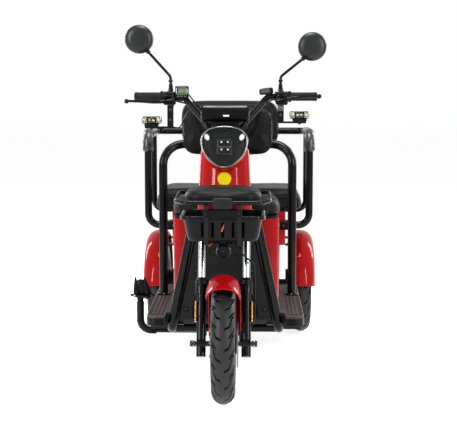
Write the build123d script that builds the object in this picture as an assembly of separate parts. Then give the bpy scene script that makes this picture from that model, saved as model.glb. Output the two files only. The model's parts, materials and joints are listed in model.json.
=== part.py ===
from build123d import *
import os
from math import cos, radians, sin

# Electric passenger tricycle scooter. Millimetres, +Z up, the vehicle faces -Y.
# +X is the rider's left. Lengths along the vehicle are given behind the front axle.

# Driving dimensions
wheelbase = 1200
tyreRadius = 202
tyreWidth = 80
rimRadius = 127
rearTrack = 620
rake = 20
forkHalfWidth = 76
stemOffset = 28
deckTop = 245
deckThickness = 32
deckOverlap = 43
deckOuter = 281
deckFront = 232
railInset = 2
railRadius = 19
seatBoxHalfWidth = 195
seatBoxFront = 400
seatBoxRear = 690
seatBoxTop = 582
saddleThickness = 74
rearBoxHalfWidth = 236
benchHalfWidth = 302
benchThickness = 90
hoopHalfWidth = 253
hoopBehind = 704
hoopTop = 856
armHalfWidth = 332
armTop = 872
fenderOuter = 365
handlebarHeight = 1027
handlebarHalfWidth = 322
basketDepth = 85
basketHalfWidth = 136
basketLift = 358
loopRise = 46
wall = 4
pinFit = 0.05
seat = 0.3

# Sizes that follow from them
axleHeight = tyreRadius
railHalfWidth = seatBoxHalfWidth - railInset
deckInner = railHalfWidth - deckOverlap
railFoot = tyreRadius + 63
basketFloor = axleHeight + basketLift
basketRim = basketFloor + basketDepth
loopHeight = basketRim + loopRise
lampHeight = axleHeight + 653
guardSeat = tyreRadius - 11
rearEnd = wheelbase + tyreRadius + 54
frontAxleY = tyreRadius - (tyreRadius + rearEnd) / 2
deckUnder = deckTop - deckThickness
railHeight = deckUnder - railRadius - seat
rearRailHeight = axleHeight + 188
rearBoxFront = wheelbase - 250
rearBoxRear = wheelbase + 106
rearBoxTop = rearRailHeight + 160
deckRear = rearBoxFront - 2
fenderTop = 2 * tyreRadius + 48
barRise = 120.4
barAlong = (handlebarHeight - barRise - axleHeight + stemOffset * sin(radians(rake))) / cos(radians(rake))


def back(distance):
    return frontAxleY + distance


def block(x0, x1, y0, y1, z0, z1):
    centre = Pos((x0 + x1) / 2, (y0 + y1) / 2, (z0 + z1) / 2)
    return centre * Box(x1 - x0, y1 - y0, z1 - z0)


def both(shape):
    return [shape, mirror(shape, about=Plane.YZ)]


def xRod(radius, x0, x1, y, z):
    return Pos((x0 + x1) / 2, y, z) * Rot(Y=90) * Cylinder(radius, x1 - x0)


def rod(points, radius, bend=0):
    path = FilletPolyline(*points, radius=bend) if bend else Line(*points)
    return sweep(Plane(path @ 0, z_dir=path % 0) * Circle(radius), path=path)


def upright(shape):
    return shape.edges().filter_by(Axis.Z)


def pad(x0, x1, y0, y1, z0, z1, corner, crown):
    body = block(x0, x1, y0, y1, z0, z1)
    body = fillet(upright(body), corner)
    return fillet(body.edges().group_by(Axis.Z)[-1], crown)


def steer(shape):
    return Pos(0, frontAxleY, axleHeight) * Rot(X=-rake) * shape


def steerPoint(x, v, w):
    tilt = radians(rake)
    y = frontAxleY + v * cos(tilt) + w * sin(tilt)
    return (x, y, axleHeight - v * sin(tilt) + w * cos(tilt))


def wheelAt(shape, x, behind):
    return Pos(x, back(behind), axleHeight) * shape


def tyre():
    half, top = tyreWidth / 2, tyreRadius
    mid = rimRadius + 0.52 * (top - rimRadius)
    bead = Line((-26, rimRadius), (26, rimRadius))
    rightBead = Line((26, rimRadius), (26, rimRadius + 10))
    rightWall = ThreePointArc((26, rimRadius + 10), (36.5, rimRadius + 20), (half, mid))
    crown = ThreePointArc((half, mid), (0, top), (-half, mid))
    leftWall = ThreePointArc((-half, mid), (-36.5, rimRadius + 20), (-26, rimRadius + 10))
    leftBead = Line((-26, rimRadius + 10), (-26, rimRadius))
    ring = make_face([bead, rightBead, rightWall, crown, leftWall, leftBead])
    return revolve(ring, Axis.X, 360)


def rim(hubLeft, hubRight, bore, hubRadius=34):
    seatRadius = rimRadius - seat
    barrel = Polyline(
        (-31, seatRadius + 8), (-26.3, seatRadius + 8), (-26.3, seatRadius),
        (26.3, seatRadius), (26.3, seatRadius + 8), (31, seatRadius + 8),
        (31, seatRadius - 9), (20, seatRadius - 14), (-20, seatRadius - 14),
        (-31, seatRadius - 9), close=True,
    )
    body = revolve(make_face(barrel), Axis.X, 360)
    body += xRod(hubRadius, hubLeft, hubRight, 0, 0)
    spoke = Pos(0, 0, 72) * Box(22, 30, 96)
    for number in range(5):
        body += Rot(X=72 * number) * spoke
    return body - xRod(bore, hubLeft - 5, hubRight + 5, 0, 0)


def frontWheel():
    axleBore = 6 + pinFit
    disc = xRod(80, 45, 49, 0, 0) - xRod(52, 40, 55, 0, 0)
    arms = xRod(34, 45, 49, 0, 0) - xRod(axleBore + 6, 40, 55, 0, 0)
    for number in range(6):
        arms += Rot(X=60 * number) * Pos(47, 0, 43) * Box(4, 14, 24)
    holes = [Rot(X=30 * n) * Pos(47, 0, 67) * Rot(Y=90) * Cylinder(5, 20) for n in range(12)]
    rotor = disc + arms
    for hole in holes:
        rotor -= hole
    hub = rim(-45, 45 - seat, axleBore)
    return {
        "front_tyre": [wheelAt(tyre(), 0, 0)],
        "front_rim": [wheelAt(hub, 0, 0)],
        "brake_disc": [wheelAt(rotor, 0, 0)],
    }


def rearWheels():
    drumRim = rim(-58, 40, 9 + pinFit, 34) + (xRod(66, -58, -20, 0, 0) - xRod(9 + pinFit, -60, 0, 0, 0))
    placedTyre = wheelAt(tyre(), rearTrack / 2, wheelbase)
    placedRim = wheelAt(drumRim, rearTrack / 2, wheelbase)
    leftTyre, rightTyre = both(placedTyre)
    leftRim, rightRim = both(placedRim)
    return {
        "rear_left_tyre": [leftTyre], "rear_left_rim": [leftRim],
        "rear_right_tyre": [rightTyre], "rear_right_rim": [rightRim],
    }


def fork():
    x, off = forkHalfWidth, stemOffset
    lower = Pos(x, 0, (guardSeat - 67) / 2) * Cylinder(16, guardSeat + 23)
    lower += Pos(x, 0, guardSeat) * Cylinder(20.5, 46)
    lower += Pos(x, 0, 0) * Rot(Y=90) * Cylinder(19, 30)
    lower -= Pos(x, 0, guardSeat + 10) * Cylinder(13.5 + pinFit, 40)
    lower -= Pos(x, 0, 0) * Rot(Y=90) * Cylinder(6 + pinFit, 60)
    foot, top = guardSeat - 9, 388
    stanchion = Pos(x, 0, (foot + top) / 2) * Cylinder(13.5, top - foot)
    plate = Pos(0, off / 2 - 2, 368) * Box(2 * x, 46, 32)
    crown = plate + Pos(0, off, 368) * Cylinder(27, 32)
    for side in (-x, x):
        crown += Pos(side, 0, 368) * Cylinder(22, 32)
    crown += Pos(0, off, (368 + barAlong - 14) / 2) * Cylinder(14, barAlong - 14 - 368)
    crown += Pos(0, off, 598) * Cylinder(23, 15.4)
    for side in (-x, x):
        crown -= Pos(side, 0, 368) * Cylinder(13.5 + pinFit, 40)
    axle = xRod(6, -x - 32, x + 32, 0, 0)
    axle += xRod(10, x + 18, x + 26, 0, 0) + xRod(10, -x - 26, -x - 18, 0, 0)
    axle += xRod(9, 51, x - 16.1, 0, 0) + xRod(9, 16.1 - x, -46, 0, 0)
    reflector = Pos(x + 19, -3, 108) * Box(6, 22, 68)
    reflector = fillet(upright(reflector), 2.5)
    return {
        "fork_crown": [steer(crown)],
        "fork_stanchions": [steer(s) for s in both(stanchion)],
        "fork_legs": [steer(s) for s in both(lower)],
        "front_axle": [steer(axle)],
        "fork_reflectors": [steer(s) for s in both(reflector)],
    }


def mudguard():
    outer, half, thick = tyreRadius + 30, forkHalfWidth - 20.5, 3
    crown, hem = Ellipse(half, 42), Ellipse(half - thick, 42 - thick)
    section = Pos(0, outer - 42, 0) * (crown - hem - Pos(0, -42, 0) * Rectangle(4 * half, 84))
    guard = revolve(Rot(X=118) * section, Axis.X, -122)
    guard = Pos(0, frontAxleY, axleHeight) * guard
    return {"front_mudguard": [guard]}


def caliper():
    body = Pos(47, 60, 28) * Box(30, 34, 46)
    body -= Pos(47, 52, 28) * Box(9, 60, 60)
    body += Pos(58, 36, 20) * Box(8, 40, 20)
    body -= Pos(forkHalfWidth, 0, 0) * Cylinder(16 + seat, 200)
    body -= xRod(19 + seat, 55, 100, 0, 0)
    body = max(body.solids(), key=lambda s: s.volume)
    return {"brake_caliper": [steer(body)]}


def frame():
    headOuter, headBottom, headTop = 24, 384.3, 590
    head = Pos(0, stemOffset, (headBottom + headTop) / 2) * Cylinder(headOuter, headTop - headBottom)
    bore = Pos(0, stemOffset, 480) * Cylinder(14 + pinFit, 400)
    gusset = block(-98, 98, back(196), back(248), 580, 622)
    top = steer(head) + gusset + block(-30, 30, back(186), back(215), 585, 645)
    top -= steer(bore)
    rail = rod(
        [(99, back(224), 640), (railHalfWidth, back(railFoot), railHeight),
         (railHalfWidth, back(rearBoxFront + 35), railHeight),
         (railHalfWidth, back(rearBoxFront + 120), rearRailHeight),
         (railHalfWidth, back(wheelbase + 100), rearRailHeight)],
        railRadius, 60,
    )
    rail -= block(-400, 400, back(100), back(400), 580, 900)
    cross = []
    for behind, height in (
        (railFoot + 45, railHeight), (440, railHeight), (650, railHeight), (deckRear - 18, railHeight),
        (wheelbase - 90, rearRailHeight), (wheelbase + 80, rearRailHeight),
    ):
        tube = xRod(16, -railHalfWidth, railHalfWidth, back(behind), height)
        for side in both(rail):
            tube -= side
        cross.append(max(tube.solids(), key=lambda s: s.volume))
    bracket = block(-84, -72, back(390), back(440), 146, railHeight)
    cross[1] = (cross[1] + bracket).solids()[0]
    arms = []
    for behind in (railFoot + 65, 600, deckRear - 88):
        arm = block(seatBoxHalfWidth + 2, 272, back(behind - 12), back(behind + 12), 186, deckUnder - seat)
        arm -= rail
        arms += both(max(arm.solids(), key=lambda s: s.volume))
    return {"head_tube": [top], "frame_rails": both(rail), "frame_cross_members": cross + arms}


def cowlSection(side, inset):
    front, rear = -52 + inset, 100 - inset
    outline = [
        (-54, front), (54, front), (side, front + 40), (side, rear - 30), (62, rear),
        (-62, rear), (-side, rear - 30), (-side, front + 40),
    ]
    section = make_face(Polyline(*outline, close=True))
    return fillet(section.vertices(), 28)


def cowlBody(inset):
    low = Pos(0, 0, 398) * cowlSection(96 - inset, inset)
    high = Pos(0, 0, 690 - inset) * cowlSection(84 - inset, inset)
    body = loft([low, high], ruled=True)
    return fillet(body.faces().sort_by(Axis.Z)[-1].edges(), 20)


def cowl():
    sunk = fillet(upright(block(-50, 50, -90, -48.5, 380, 630)), 8)
    behindSunk = block(-57, 57, -90, -44, 380, 640)
    shell = cowlBody(0) - sunk - (Pos(0, 0, -10) * cowlBody(3) - behindSunk)
    shell -= Pos(0, stemOffset, 700) * Cylinder(48, 80)
    shell -= Pos(0, 0, 390) * Box(400, 400, 60)
    shell = steer(shell)
    shell -= block(-120, 120, back(150), back(400), 500, 632)
    tilt = Plane(steerPoint(0, stemOffset + 14, 500), z_dir=(0, cos(radians(rake)), -sin(radians(rake))))
    front = split(shell, bisect_by=tilt, keep=Keep.BOTTOM)
    rear = split(shell, bisect_by=tilt, keep=Keep.TOP)
    bucket = headlightBlank(4, 60, -78)
    front -= bucket
    front = max(front.solids(), key=lambda s: s.volume)
    rear = max(rear.solids(), key=lambda s: s.volume)
    return {"front_cowl": [front], "knee_panel": [rear]}


def headlightOutline(grow):
    corner, side = (56 + 0.5 * grow, 61 + 0.85 * grow), (79 + grow, 32)
    shoulder, cheek = (73 + 0.75 * grow, 51 + 0.7 * grow), (63 + 0.85 * grow, -22 - 0.5 * grow)
    chin, tip = (25 + 0.5 * grow, -73 - 0.8 * grow), (0, -84 - grow)
    right = [ThreePointArc(corner, shoulder, side), ThreePointArc(side, cheek, chin)]
    left = [mirror(arc, Plane.YZ) for arc in right]
    arch = ThreePointArc((-corner[0], corner[1]), (0, 70 + grow), corner)
    base = ThreePointArc(chin, tip, (-chin[0], chin[1]))
    return make_face([arch, base] + right + left)


def headlightPlace(shape):
    return Pos(0, back(128), lampHeight) * Rot(X=-12) * Rot(X=90) * shape


def headlightBlank(grow, forward, rearward):
    return headlightPlace(Pos(0, 0, rearward) * extrude(headlightOutline(grow), forward - rearward))


def headlight():
    dome = headlightPlace(Pos(0, 0, -236) * Sphere(260))
    innerDome = headlightPlace(Pos(0, 0, -240) * Sphere(260))
    rim = headlightBlank(0, 30, -12) & headlightPlace(Pos(0, 0, -238) * Sphere(262))
    rim -= headlightBlank(-6, 40, -20)
    lens = (headlightBlank(-6.3, 40, -12) & dome) - innerDome
    lens = max(lens.solids(), key=lambda s: s.volume)
    shellOuter = headlightBlank(-0.5, -12.3, -66)
    bucket = shellOuter - headlightBlank(-5, 10, -60)
    led = headlightPlace(Pos(0, 2, -40) * Box(56, 60, 42))
    bucket += led
    return {"headlight_rim": [rim], "headlight_lens": [lens], "headlight_bucket": [bucket]}


def tubBody(shrink, floorLift, rimLift):
    low = Plane((0, back(-37), basketFloor + floorLift)) * RectangleRounded(
        2 * (basketHalfWidth - 22 - shrink), 130 - 2 * shrink, 30)
    high = Plane((0, back(-20), basketRim + rimLift)) * RectangleRounded(
        2 * (basketHalfWidth - 6 - shrink), 214 - 2 * shrink, 34)
    body = loft([low, high], ruled=True)
    return fillet(body.faces().sort_by(Axis.Z)[0].edges(), 18 - shrink)


def basket():
    tub = tubBody(0, 0, 0) - tubBody(3, 3, 0.1)
    lip = Plane((0, back(-20), basketRim - 8)) * RectangleRounded(2 * basketHalfWidth, 226, 40)
    hole = Plane((0, back(-20), basketRim - 9)) * RectangleRounded(2 * basketHalfWidth - 20, 206, 32)
    tub += extrude(lip, 8) - extrude(hole, 10)
    tub -= tubBody(3, 3, 0.1)
    for x in (-66, -33, 0, 33, 66):
        tub -= block(x - 4.5, x + 4.5, back(-200), back(-60), basketFloor + 14, basketRim - 19)
    return {"front_basket": [tub]}


def carrier():
    h, front = loopHeight, back(-143)
    loop = rod(
        [(-80, back(156), h + 12), (-152, back(108), h + 12), (-152, back(-98), h + 4),
         (-122, front, h), (122, front, h), (152, back(-98), h + 4),
         (152, back(108), h + 12), (80, back(156), h + 12)],
        7, 30,
    )
    strapTop = h - 5
    profile = make_face(Polyline(
        (back(125), strapTop), (back(-153), strapTop), (back(-117), basketFloor - 8),
        (back(20), basketFloor - 8), (back(20), basketFloor - seat),
        (back(-111), basketFloor - seat), (back(-148.5), strapTop - 4), (back(125), strapTop - 4),
        close=True,
    ))
    strip = extrude(Plane.YZ * profile, 7, both=True)
    strap = Pos(53, 0, 0) * strip
    pieces = loop
    for side in both(strap):
        pieces += side
    plate = block(-28, 28, back(-158), back(-141), h - 18, h + 16)
    plate = fillet(plate.edges().filter_by(Axis.Y), 9)
    pieces += plate
    pieces += block(-60, 60, back(-150), back(-146), basketRim + 1, basketRim + 23)
    stay = rod([(basketHalfWidth + 5, back(-20), basketRim + seat), (150, back(-20), h + 8)], 3)
    for side in both(stay):
        pieces += side
    pieces -= steer(cowlBody(-seat))
    pieces = max(pieces.solids(), key=lambda s: s.volume)
    cushion = pad(-130, 130, back(-124), back(96), h - 5 + seat, h + 36, 62, 20)
    cushion -= steer(cowlBody(-1))
    cushion = max(cushion.solids(), key=lambda s: s.volume)
    horn = Pos(0, back(-30), basketFloor - 40) * Rot(X=90) * Cylinder(18, 24)
    horn += block(-9, 9, back(-36), back(-26), basketFloor - 30, basketFloor - seat)
    return {"front_carrier": [pieces], "carrier_cushion": [cushion], "horn": [horn]}


def legShield():
    def lean(z):
        return back(224) + (640 - z) * (railFoot - 224) / (640 - railHeight)

    z0, z1 = 234, 560
    slab = make_face(Polyline(
        (lean(z0) - 8, z0), (lean(z1) - 8, z1), (lean(z1) + 10, z1), (lean(z0) + 10, z0),
        close=True,
    ))
    panel = extrude(Plane.YZ * slab, 200, both=True)
    recess = make_face(Polyline(
        (lean(z0) - 40, z0 - 40), (lean(z1) - 40, z1), (lean(z1) + 2, z1), (lean(z0) + 2, z0 - 40),
        close=True,
    ))
    arch = extrude(Plane.YZ * recess, 200, both=True)
    arch &= Pos(0, back(240), 262) * Rot(X=90) * Cylinder(118, 300)
    panel -= arch
    slope = (railHalfWidth - 99) / (640 - railHeight)
    edge0, edge1 = [99 + (640 - z) * slope - railRadius - 0.75 for z in (z0, z1)]
    trapezoid = make_face(Polyline((-edge0, z0), (edge0, z0), (edge1, z1), (-edge1, z1), close=True))
    panel &= extrude(Plane.XZ * trapezoid, 2000, both=True)
    side = deckInner - seat
    floors = [
        block(-side, side, back(start), back(end), deckUnder, deckTop - 4)
        for start, end in ((railFoot + 11, seatBoxFront - 1), (seatBoxRear + 1, deckRear))
    ]
    return {"leg_shield": [panel], "centre_floors": floors}


def deck():
    x0, x1 = deckInner, deckOuter
    outline = Polyline(
        (x0, back(railFoot + 67)), (216, back(railFoot + 59)), (216, back(deckFront)), (x1, back(deckFront)),
        (x1, back(deckRear)), (x0, back(deckRear)), close=True)
    board = extrude(Plane((0, 0, deckTop - deckThickness)) * make_face(outline), deckThickness)
    corner = upright(board).sort_by(Axis.X)[-2:].sort_by(Axis.Y)[0]
    board = fillet(corner, 34)
    board -= block(0, seatBoxHalfWidth + 0.5, back(seatBoxFront - 0.5), back(seatBoxRear + 0.5), 0, 400)
    ribs = []
    for x in (232, 246, 260, 274):
        ribs.append(block(x - 3, x + 3, back(280), back(seatBoxRear - 30), deckTop, deckTop + 3))
    for x in (212, 226, 240, 254, 268):
        ribs.append(block(x - 3, x + 3, back(seatBoxRear + 60), back(deckRear - 28), deckTop, deckTop + 3))
    for rib in ribs:
        board += rib
    return {"footboards": both(board)}


def pedal():
    y, x, low = back(405), -318, 163
    lever = rod([(-84, y, low), (x, y, low), (x, y, 292)], 8, 34)
    sleeve = rod([(-268, y, low), (x, y, low), (x, y, 272)], 14, 34)
    cup = Pos(x, y, 292) * Rot(Y=6) * extrude(Ellipse(37, 23), 6, both=True)
    for fin, lean in ((-328, -6), (-288, -12)):
        cup += Pos(fin, y, 294) * Rot(Y=lean) * Pos(0, 0, 33) * Cone(13, 3, 66)
    cup += block(-339, -293, y - 5, y + 9, 294, 334)
    return {"brake_pedal": [lever + sleeve + cup]}


def hingeLugs(x0, y, z, reach):
    lugs = []
    for left in (x0, x0 + 41):
        lug = block(left, left + 8, y - 8, reach, z - 8, z + 8)
        lugs.append(lug)
    pin = xRod(3, x0, x0 + 49, y, z)
    return lugs[0] + lugs[1] + pin


def hingeBarrel(x0, y, z, reach, top):
    barrel = xRod(7, x0 + 8.5, x0 + 40.5, y, z)
    barrel += block(x0 + 10, x0 + 39, y, reach, z + 1, top)
    return barrel - xRod(3 + pinFit, x0, x0 + 49, y, z)


def openBox(half, front, rear, floor, top, corner):
    outside = block(-half, half, back(front), back(rear), floor, top)
    inside = block(wall - half, half - wall, back(front + wall), back(rear - wall), floor + wall, top + 10)
    return fillet(upright(outside), corner) - fillet(upright(inside), corner - wall)


def seatBox():
    half, top, floor = seatBoxHalfWidth, seatBoxTop, deckUnder
    body = openBox(half, seatBoxFront, seatBoxRear, floor, top, 36)
    hingeY, hingeZ = back(seatBoxFront - 14), top - 10
    for x0 in (50, -99):
        body += hingeLugs(x0, hingeY, hingeZ, back(seatBoxFront + 2))
    cell = half - 45
    battery = block(-cell, cell, back(seatBoxFront + 30), back(seatBoxRear - 40), floor + wall + seat, 400)
    battery = fillet(upright(battery), 8)
    base = block(-half + 4, half - 4, back(seatBoxFront + 8), back(seatBoxRear - 4), top + seat, top + 9)
    base = fillet(upright(base), 30)
    base += block(-110, 110, back(seatBoxFront - 6), back(seatBoxFront + 20), top + 4, top + 9)
    for x0 in (50, -99):
        base += hingeBarrel(x0, hingeY, hingeZ, back(seatBoxFront - 2), top + 9)
    wide, low = half + 5, top + 9 + seat
    saddle = pad(
        -wide, wide, back(seatBoxFront - 8), back(seatBoxRear + 4), low, top + saddleThickness, 90, 26)
    return {"seat_box": [body], "battery_pack": [battery],
            "driver_seat_base": [base], "driver_saddle": [saddle]}


def rearBox():
    half, top = rearBoxHalfWidth, rearBoxTop
    floor = rearRailHeight + railRadius + seat
    body = openBox(half, rearBoxFront, rearBoxRear, floor, top, 24)
    front = back(rearBoxFront)
    body += block(24 - half, half - 24, front, front + wall, deckTop - 30, floor + 20)
    for x in (-70, 70):
        body -= Pos(x, back(rearBoxRear), rearBoxTop - 70) * Rot(X=90) * Cylinder(3.2, 20)
    hingeY, hingeZ = back(rearBoxFront - 14), top - 10
    for x0 in (120, -169):
        body += hingeLugs(x0, hingeY, hingeZ, back(rearBoxFront + 2))
    base = block(-half + 4, half - 4, back(rearBoxFront + 8), back(rearBoxRear - 8), top + seat, top + 9)
    base += block(-190, 190, back(rearBoxFront - 8), back(rearBoxFront + 20), top + 4, top + 9)
    for x0 in (120, -169):
        base += hingeBarrel(x0, hingeY, hingeZ, back(rearBoxFront - 2), top + 9)
    bench = pad(-benchHalfWidth, benchHalfWidth, front - 24, back(rearBoxRear - 6),
                top + 9 + seat, top + benchThickness, 46, 26)
    return {"rear_box": [body], "bench_base": [base], "bench_cushion": [bench]}


def hoop():
    x, y, z = hoopHalfWidth, back(hoopBehind), hoopTop - 17
    bar = rod(
        [(-x, y, deckTop), (-x, y, z - 50), (-x + 40, y + 40, z), (x - 40, y + 40, z),
         (x, y, z - 50), (x, y, deckTop)], 17, 36)
    for side in (-x, x):
        bar += Pos(side, y, deckTop + 3) * Cylinder(27, 6)
    panel = block(-173, 173, y - 34, y + 22.7, hoopTop - 55, hoopTop + 124)
    panel = fillet(panel.edges().filter_by(Axis.Y), 44)
    panel = fillet(panel.faces().sort_by(Axis.Y)[0].edges(), 20)
    return {"driver_hoop": [bar], "driver_backrest": [panel]}


def armrests():
    x, z = armHalfWidth, armTop
    front, rear, low = back(rearBoxFront - 14), back(rearBoxRear), rearBoxTop - 54
    bar = rod(
        [(-262, front, low), (-x, front, low), (-x, front, z), (-x, rear, z),
         (x, rear, z), (x, front, z), (x, front, low), (262, front, low)], 15, 46)
    legY, legLow = back(wheelbase + 40), rearBoxTop - 20
    leg = rod([(x, legY, z - 8), (x, legY, legLow), (rearBoxHalfWidth + seat, legY, legLow)], 12, 40)
    for side in both(leg):
        bar += side
    clamp = block(rearBoxHalfWidth + seat, 264, front - 13 + 30, front + 46, low - 17, low + 17)
    clamp += block(244, 264, front - 17, front + 46, low - 17, low + 17)
    for side in both(clamp):
        bar += side
    sleeve = rod([(x, front, z - 72), (x, front, z), (x, back(wheelbase), z)], 22, 46)
    sleeve -= rod([(x, front, z - 172), (x, front, z), (x, back(wheelbase + 90), z)], 15 + 0.1, 46)
    panel = block(-211, 211, back(wheelbase + 28), rear - 15 - seat, z - 68, z + 132)
    panel = fillet(panel.edges().filter_by(Axis.Y), 48)
    panel = fillet(panel.faces().sort_by(Axis.Y)[0].edges(), 20)
    return {"armrest_frame": [bar], "armrest_sleeves": both(sleeve), "bench_backrest": [panel]}


# inward from the fender's outer face, outward from the tyre's radius
fenderProfile = (
    (100, 22), (99, 30), (92, 36.5), (78, 39.5), (58, 40.5), (40, 37.5), (23, 29.5), (11, 17),
    (4.5, 2), (1.5, -16), (0.5, -34), (0, -50), (3, -50), (3.5, -34), (4.5, -16), (7.5, 1), (13.5, 15),
    (25, 27), (41, 34.5), (58, 37.5), (77, 36.5), (90, 33.5), (96, 28), (97, 22),
)


def fenders():
    points = [(fenderOuter - inward, tyreRadius + outward) for inward, outward in fenderProfile]
    section = Rot(X=171.5) * make_face(Polyline(*points, close=True))
    shell = Pos(0, back(wheelbase), axleHeight) * revolve(section, Axis.X, -163)
    tabLow = axleHeight + tyreRadius - 12
    for behind in (wheelbase - 140, wheelbase + 100):
        start = back(behind)
        shell += block(rearBoxHalfWidth + seat, fenderOuter - 96, start, start + 40, tabLow, tabLow + 6)
    y1, lampLow = back(wheelbase + tyreRadius + 38), fenderTop - 134
    pod = block(290, 340, y1 - 100, y1 - seat, lampLow - 4, lampLow + 90)
    pod -= xRod(tyreRadius + 39, 200, 400, back(wheelbase), axleHeight)
    shell += fillet(pod.edges().filter_by(Axis.Y), 6)
    lamp = block(294, 336, y1, back(rearEnd), lampLow, lampLow + 86)
    lamp = fillet(lamp.edges().filter_by(Axis.Y), 12)
    shell = max(shell.solids(), key=lambda s: s.volume)
    return {"rear_fenders": both(shell), "tail_lamps": both(lamp)}


def rearAxle():
    y, z, reach = back(wheelbase), axleHeight, rearTrack / 2 - 58 - seat
    beam = xRod(25, -reach + 8, reach - 8, y, z) + xRod(86, -85, 70, y, z) + xRod(60, 70, 110, y, z)
    for side in (-1, 1):
        x = side * reach
        beam += xRod(70, min(x, x - side * 8), max(x, x - side * 8), y, z)
        tip = side * (rearTrack / 2 + 52)
        beam += xRod(9, min(x, tip), max(x, tip), y, z)
        beam += block(side * railHalfWidth - 12, side * railHalfWidth + 12, y - 14, y + 14, z + 15, z + 34)
    bottom, top = z + 34 + seat, rearRailHeight - railRadius
    middle = (bottom + top) / 2
    shock = Solid()
    # height, radius and length of the damper, its two plates and the spring
    for height, radius, length in (
        (middle, 9, top - bottom + 20), (bottom + 4, 25, 8), (top - 8, 25, 8),
        (middle, 22, top - bottom - 14),
    ):
        shock += Pos(railHalfWidth, y, height) * Cylinder(radius, length)
    shock &= block(100, 300, y - 50, y + 50, bottom, top + 12)
    railPath = [(railHalfWidth, y - 100, rearRailHeight), (railHalfWidth, y + 100, rearRailHeight)]
    shock -= rod(railPath, railRadius)
    shock = max(shock.solids(), key=lambda s: s.volume)
    return {"rear_axle": [beam], "rear_shocks": both(shock)}


barY, barLow = steerPoint(0, stemOffset, barAlong)[1:]


def gripLine(x):
    return barY + 40 + (abs(x) - 150) * 30 / (handlebarHalfWidth - 150)


def barTube():
    half, top = handlebarHalfWidth, handlebarHeight
    left = [(-half, barY + 70, top), (-150, barY + 40, top), (-46, barY, barLow)]
    right = [(-x, y, z) for x, y, z in reversed(left)]
    return rod(left + right, 11, 32)


def handlebar():
    bar = barTube()
    clamp = Pos(0, stemOffset, barAlong - 8) * Box(64, 40, 52)
    clamp -= Pos(0, stemOffset, barAlong - 44) * Cylinder(14 + pinFit, 60)
    clamp = steer(clamp) - bar
    clamp = max(clamp.solids(), key=lambda s: s.volume)
    panelZ = handlebarHeight - 58
    dash = fillet(Box(172, 26, 62).edges().filter_by(Axis.Y), 18)
    dash = Pos(0, barY - 30, panelZ) * Rot(X=-28) * dash
    foot = block(-48, 48, barY - 26, barY - 12, panelZ - 57, panelZ - 12) - dash - clamp - bar
    clamp += max(foot.solids(), key=lambda s: s.volume)
    return {"handlebar": [bar], "handlebar_clamp": [clamp], "dash_panel": [dash]}


# side, heights of the mirror and of the turn signal's shelf from the bar, drop and reach of the lever
controlSides = (
    (-1, 203, -112, -20, 351),
    (1, 177, -94, -3, 332),
)


def grip(side):
    half, top = handlebarHalfWidth, handlebarHeight
    start, end = (side * 228, gripLine(228), top), (side * (half + 4), gripLine(half + 4), top)
    bore = rod([(side * 200, gripLine(200), top), (side * half, gripLine(half), top)], 11 + pinFit)
    return rod([start, end], 15.5) - bore


def lever(side, drop, reach):
    top = handlebarHeight
    tip = (side * reach, gripLine(reach) - 62, top + drop + 4)
    pivot, knee = (side * 186, gripLine(186) - 34, top - 14), (side * 250, gripLine(250) - 62, top + drop)
    return rod([pivot, knee, tip], 5.5, 30) + Pos(*tip) * Sphere(8.5)


def mirrorAndGlass(side, height):
    x, y, foot = side * 308, gripLine(196), handlebarHeight + 18 + seat
    stem = rod([(side * 196, y, foot), (side * 196, y, foot + 52), (side * 286, y + 6, height - 34)], 5, 24)
    cup = Pos(x, y - 4, height) * Rot(X=90) * Cylinder(51, 22)
    cup = fillet(cup.edges().sort_by(Axis.Y)[0], 13)
    shell = stem + cup - Pos(x, y + 7, height) * Rot(X=90) * Cylinder(47, 8)
    glass = Pos(x, y + 5, height) * Rot(X=90) * Cylinder(46.8, 3.5)
    return max(shell.solids(), key=lambda s: s.volume), glass


def turnSignal(side, shelf):
    y, top = gripLine(196), handlebarHeight - 30 - seat
    plate = block(side * 196 - 11, side * 196 + 11, y - 30, y - 26, shelf, top)
    plate += block(side * 196 - 11, side * 196 + 11, y - 30, y + 10, top - 5, top)
    armX, baseX, lensX = [sorted((side * a, side * b)) for a, b in ((185, 270), (240, 286), (228, 297))]
    plate += block(*armX, y - 37, y - 23, shelf, shelf + 7)
    plate += block(*baseX, y - 46, y - 14, shelf, shelf + 16)
    lens = block(*lensX, y - 50, y - 10, shelf + 16 + seat, shelf + 42)
    return plate, fillet(lens.edges().filter_by(Axis.Y), 8)


def controls():
    bar, top = barTube(), handlebarHeight
    names = ("grips", "brake_levers", "mirrors", "mirror_glasses", "turn_signal_brackets", "turn_signals")
    nodes = {name: [] for name in names + ("control_pods",)}
    for side, mirrorRise, shelfRise, drop, reach in controlSides:
        mirrorPair, signalPair = mirrorAndGlass(side, top + mirrorRise), turnSignal(side, top + shelfRise)
        pieces = grip(side), lever(side, drop, reach), *mirrorPair, *signalPair
        for name, piece in zip(names, pieces):
            nodes[name].append(piece)
        pod = Pos(side * 200, gripLine(200), top) * block(-22, 22, -38, 20, -30, 18) - bar - pieces[1]
        nodes["control_pods"].append(max(pod.solids(), key=lambda s: s.volume))
    switch = Pos(145, barY + 36, top + 19) * Rot(Y=-8) * fillet(Box(50, 26, 22).edges(), 4)
    nodes["control_pods"].append(switch - bar)
    display = block(-178, -130, gripLine(154) - 36, gripLine(154) - 14, top - 6, top + 38)
    display = fillet(display.edges().filter_by(Axis.Y), 4)
    display += xRod(16, -162, -152, gripLine(157), top)
    display += block(-162, -152, gripLine(154) - 15, gripLine(157), top - 8, top + 8)
    nodes["throttle_display"] = [display - bar]
    return nodes


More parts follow.
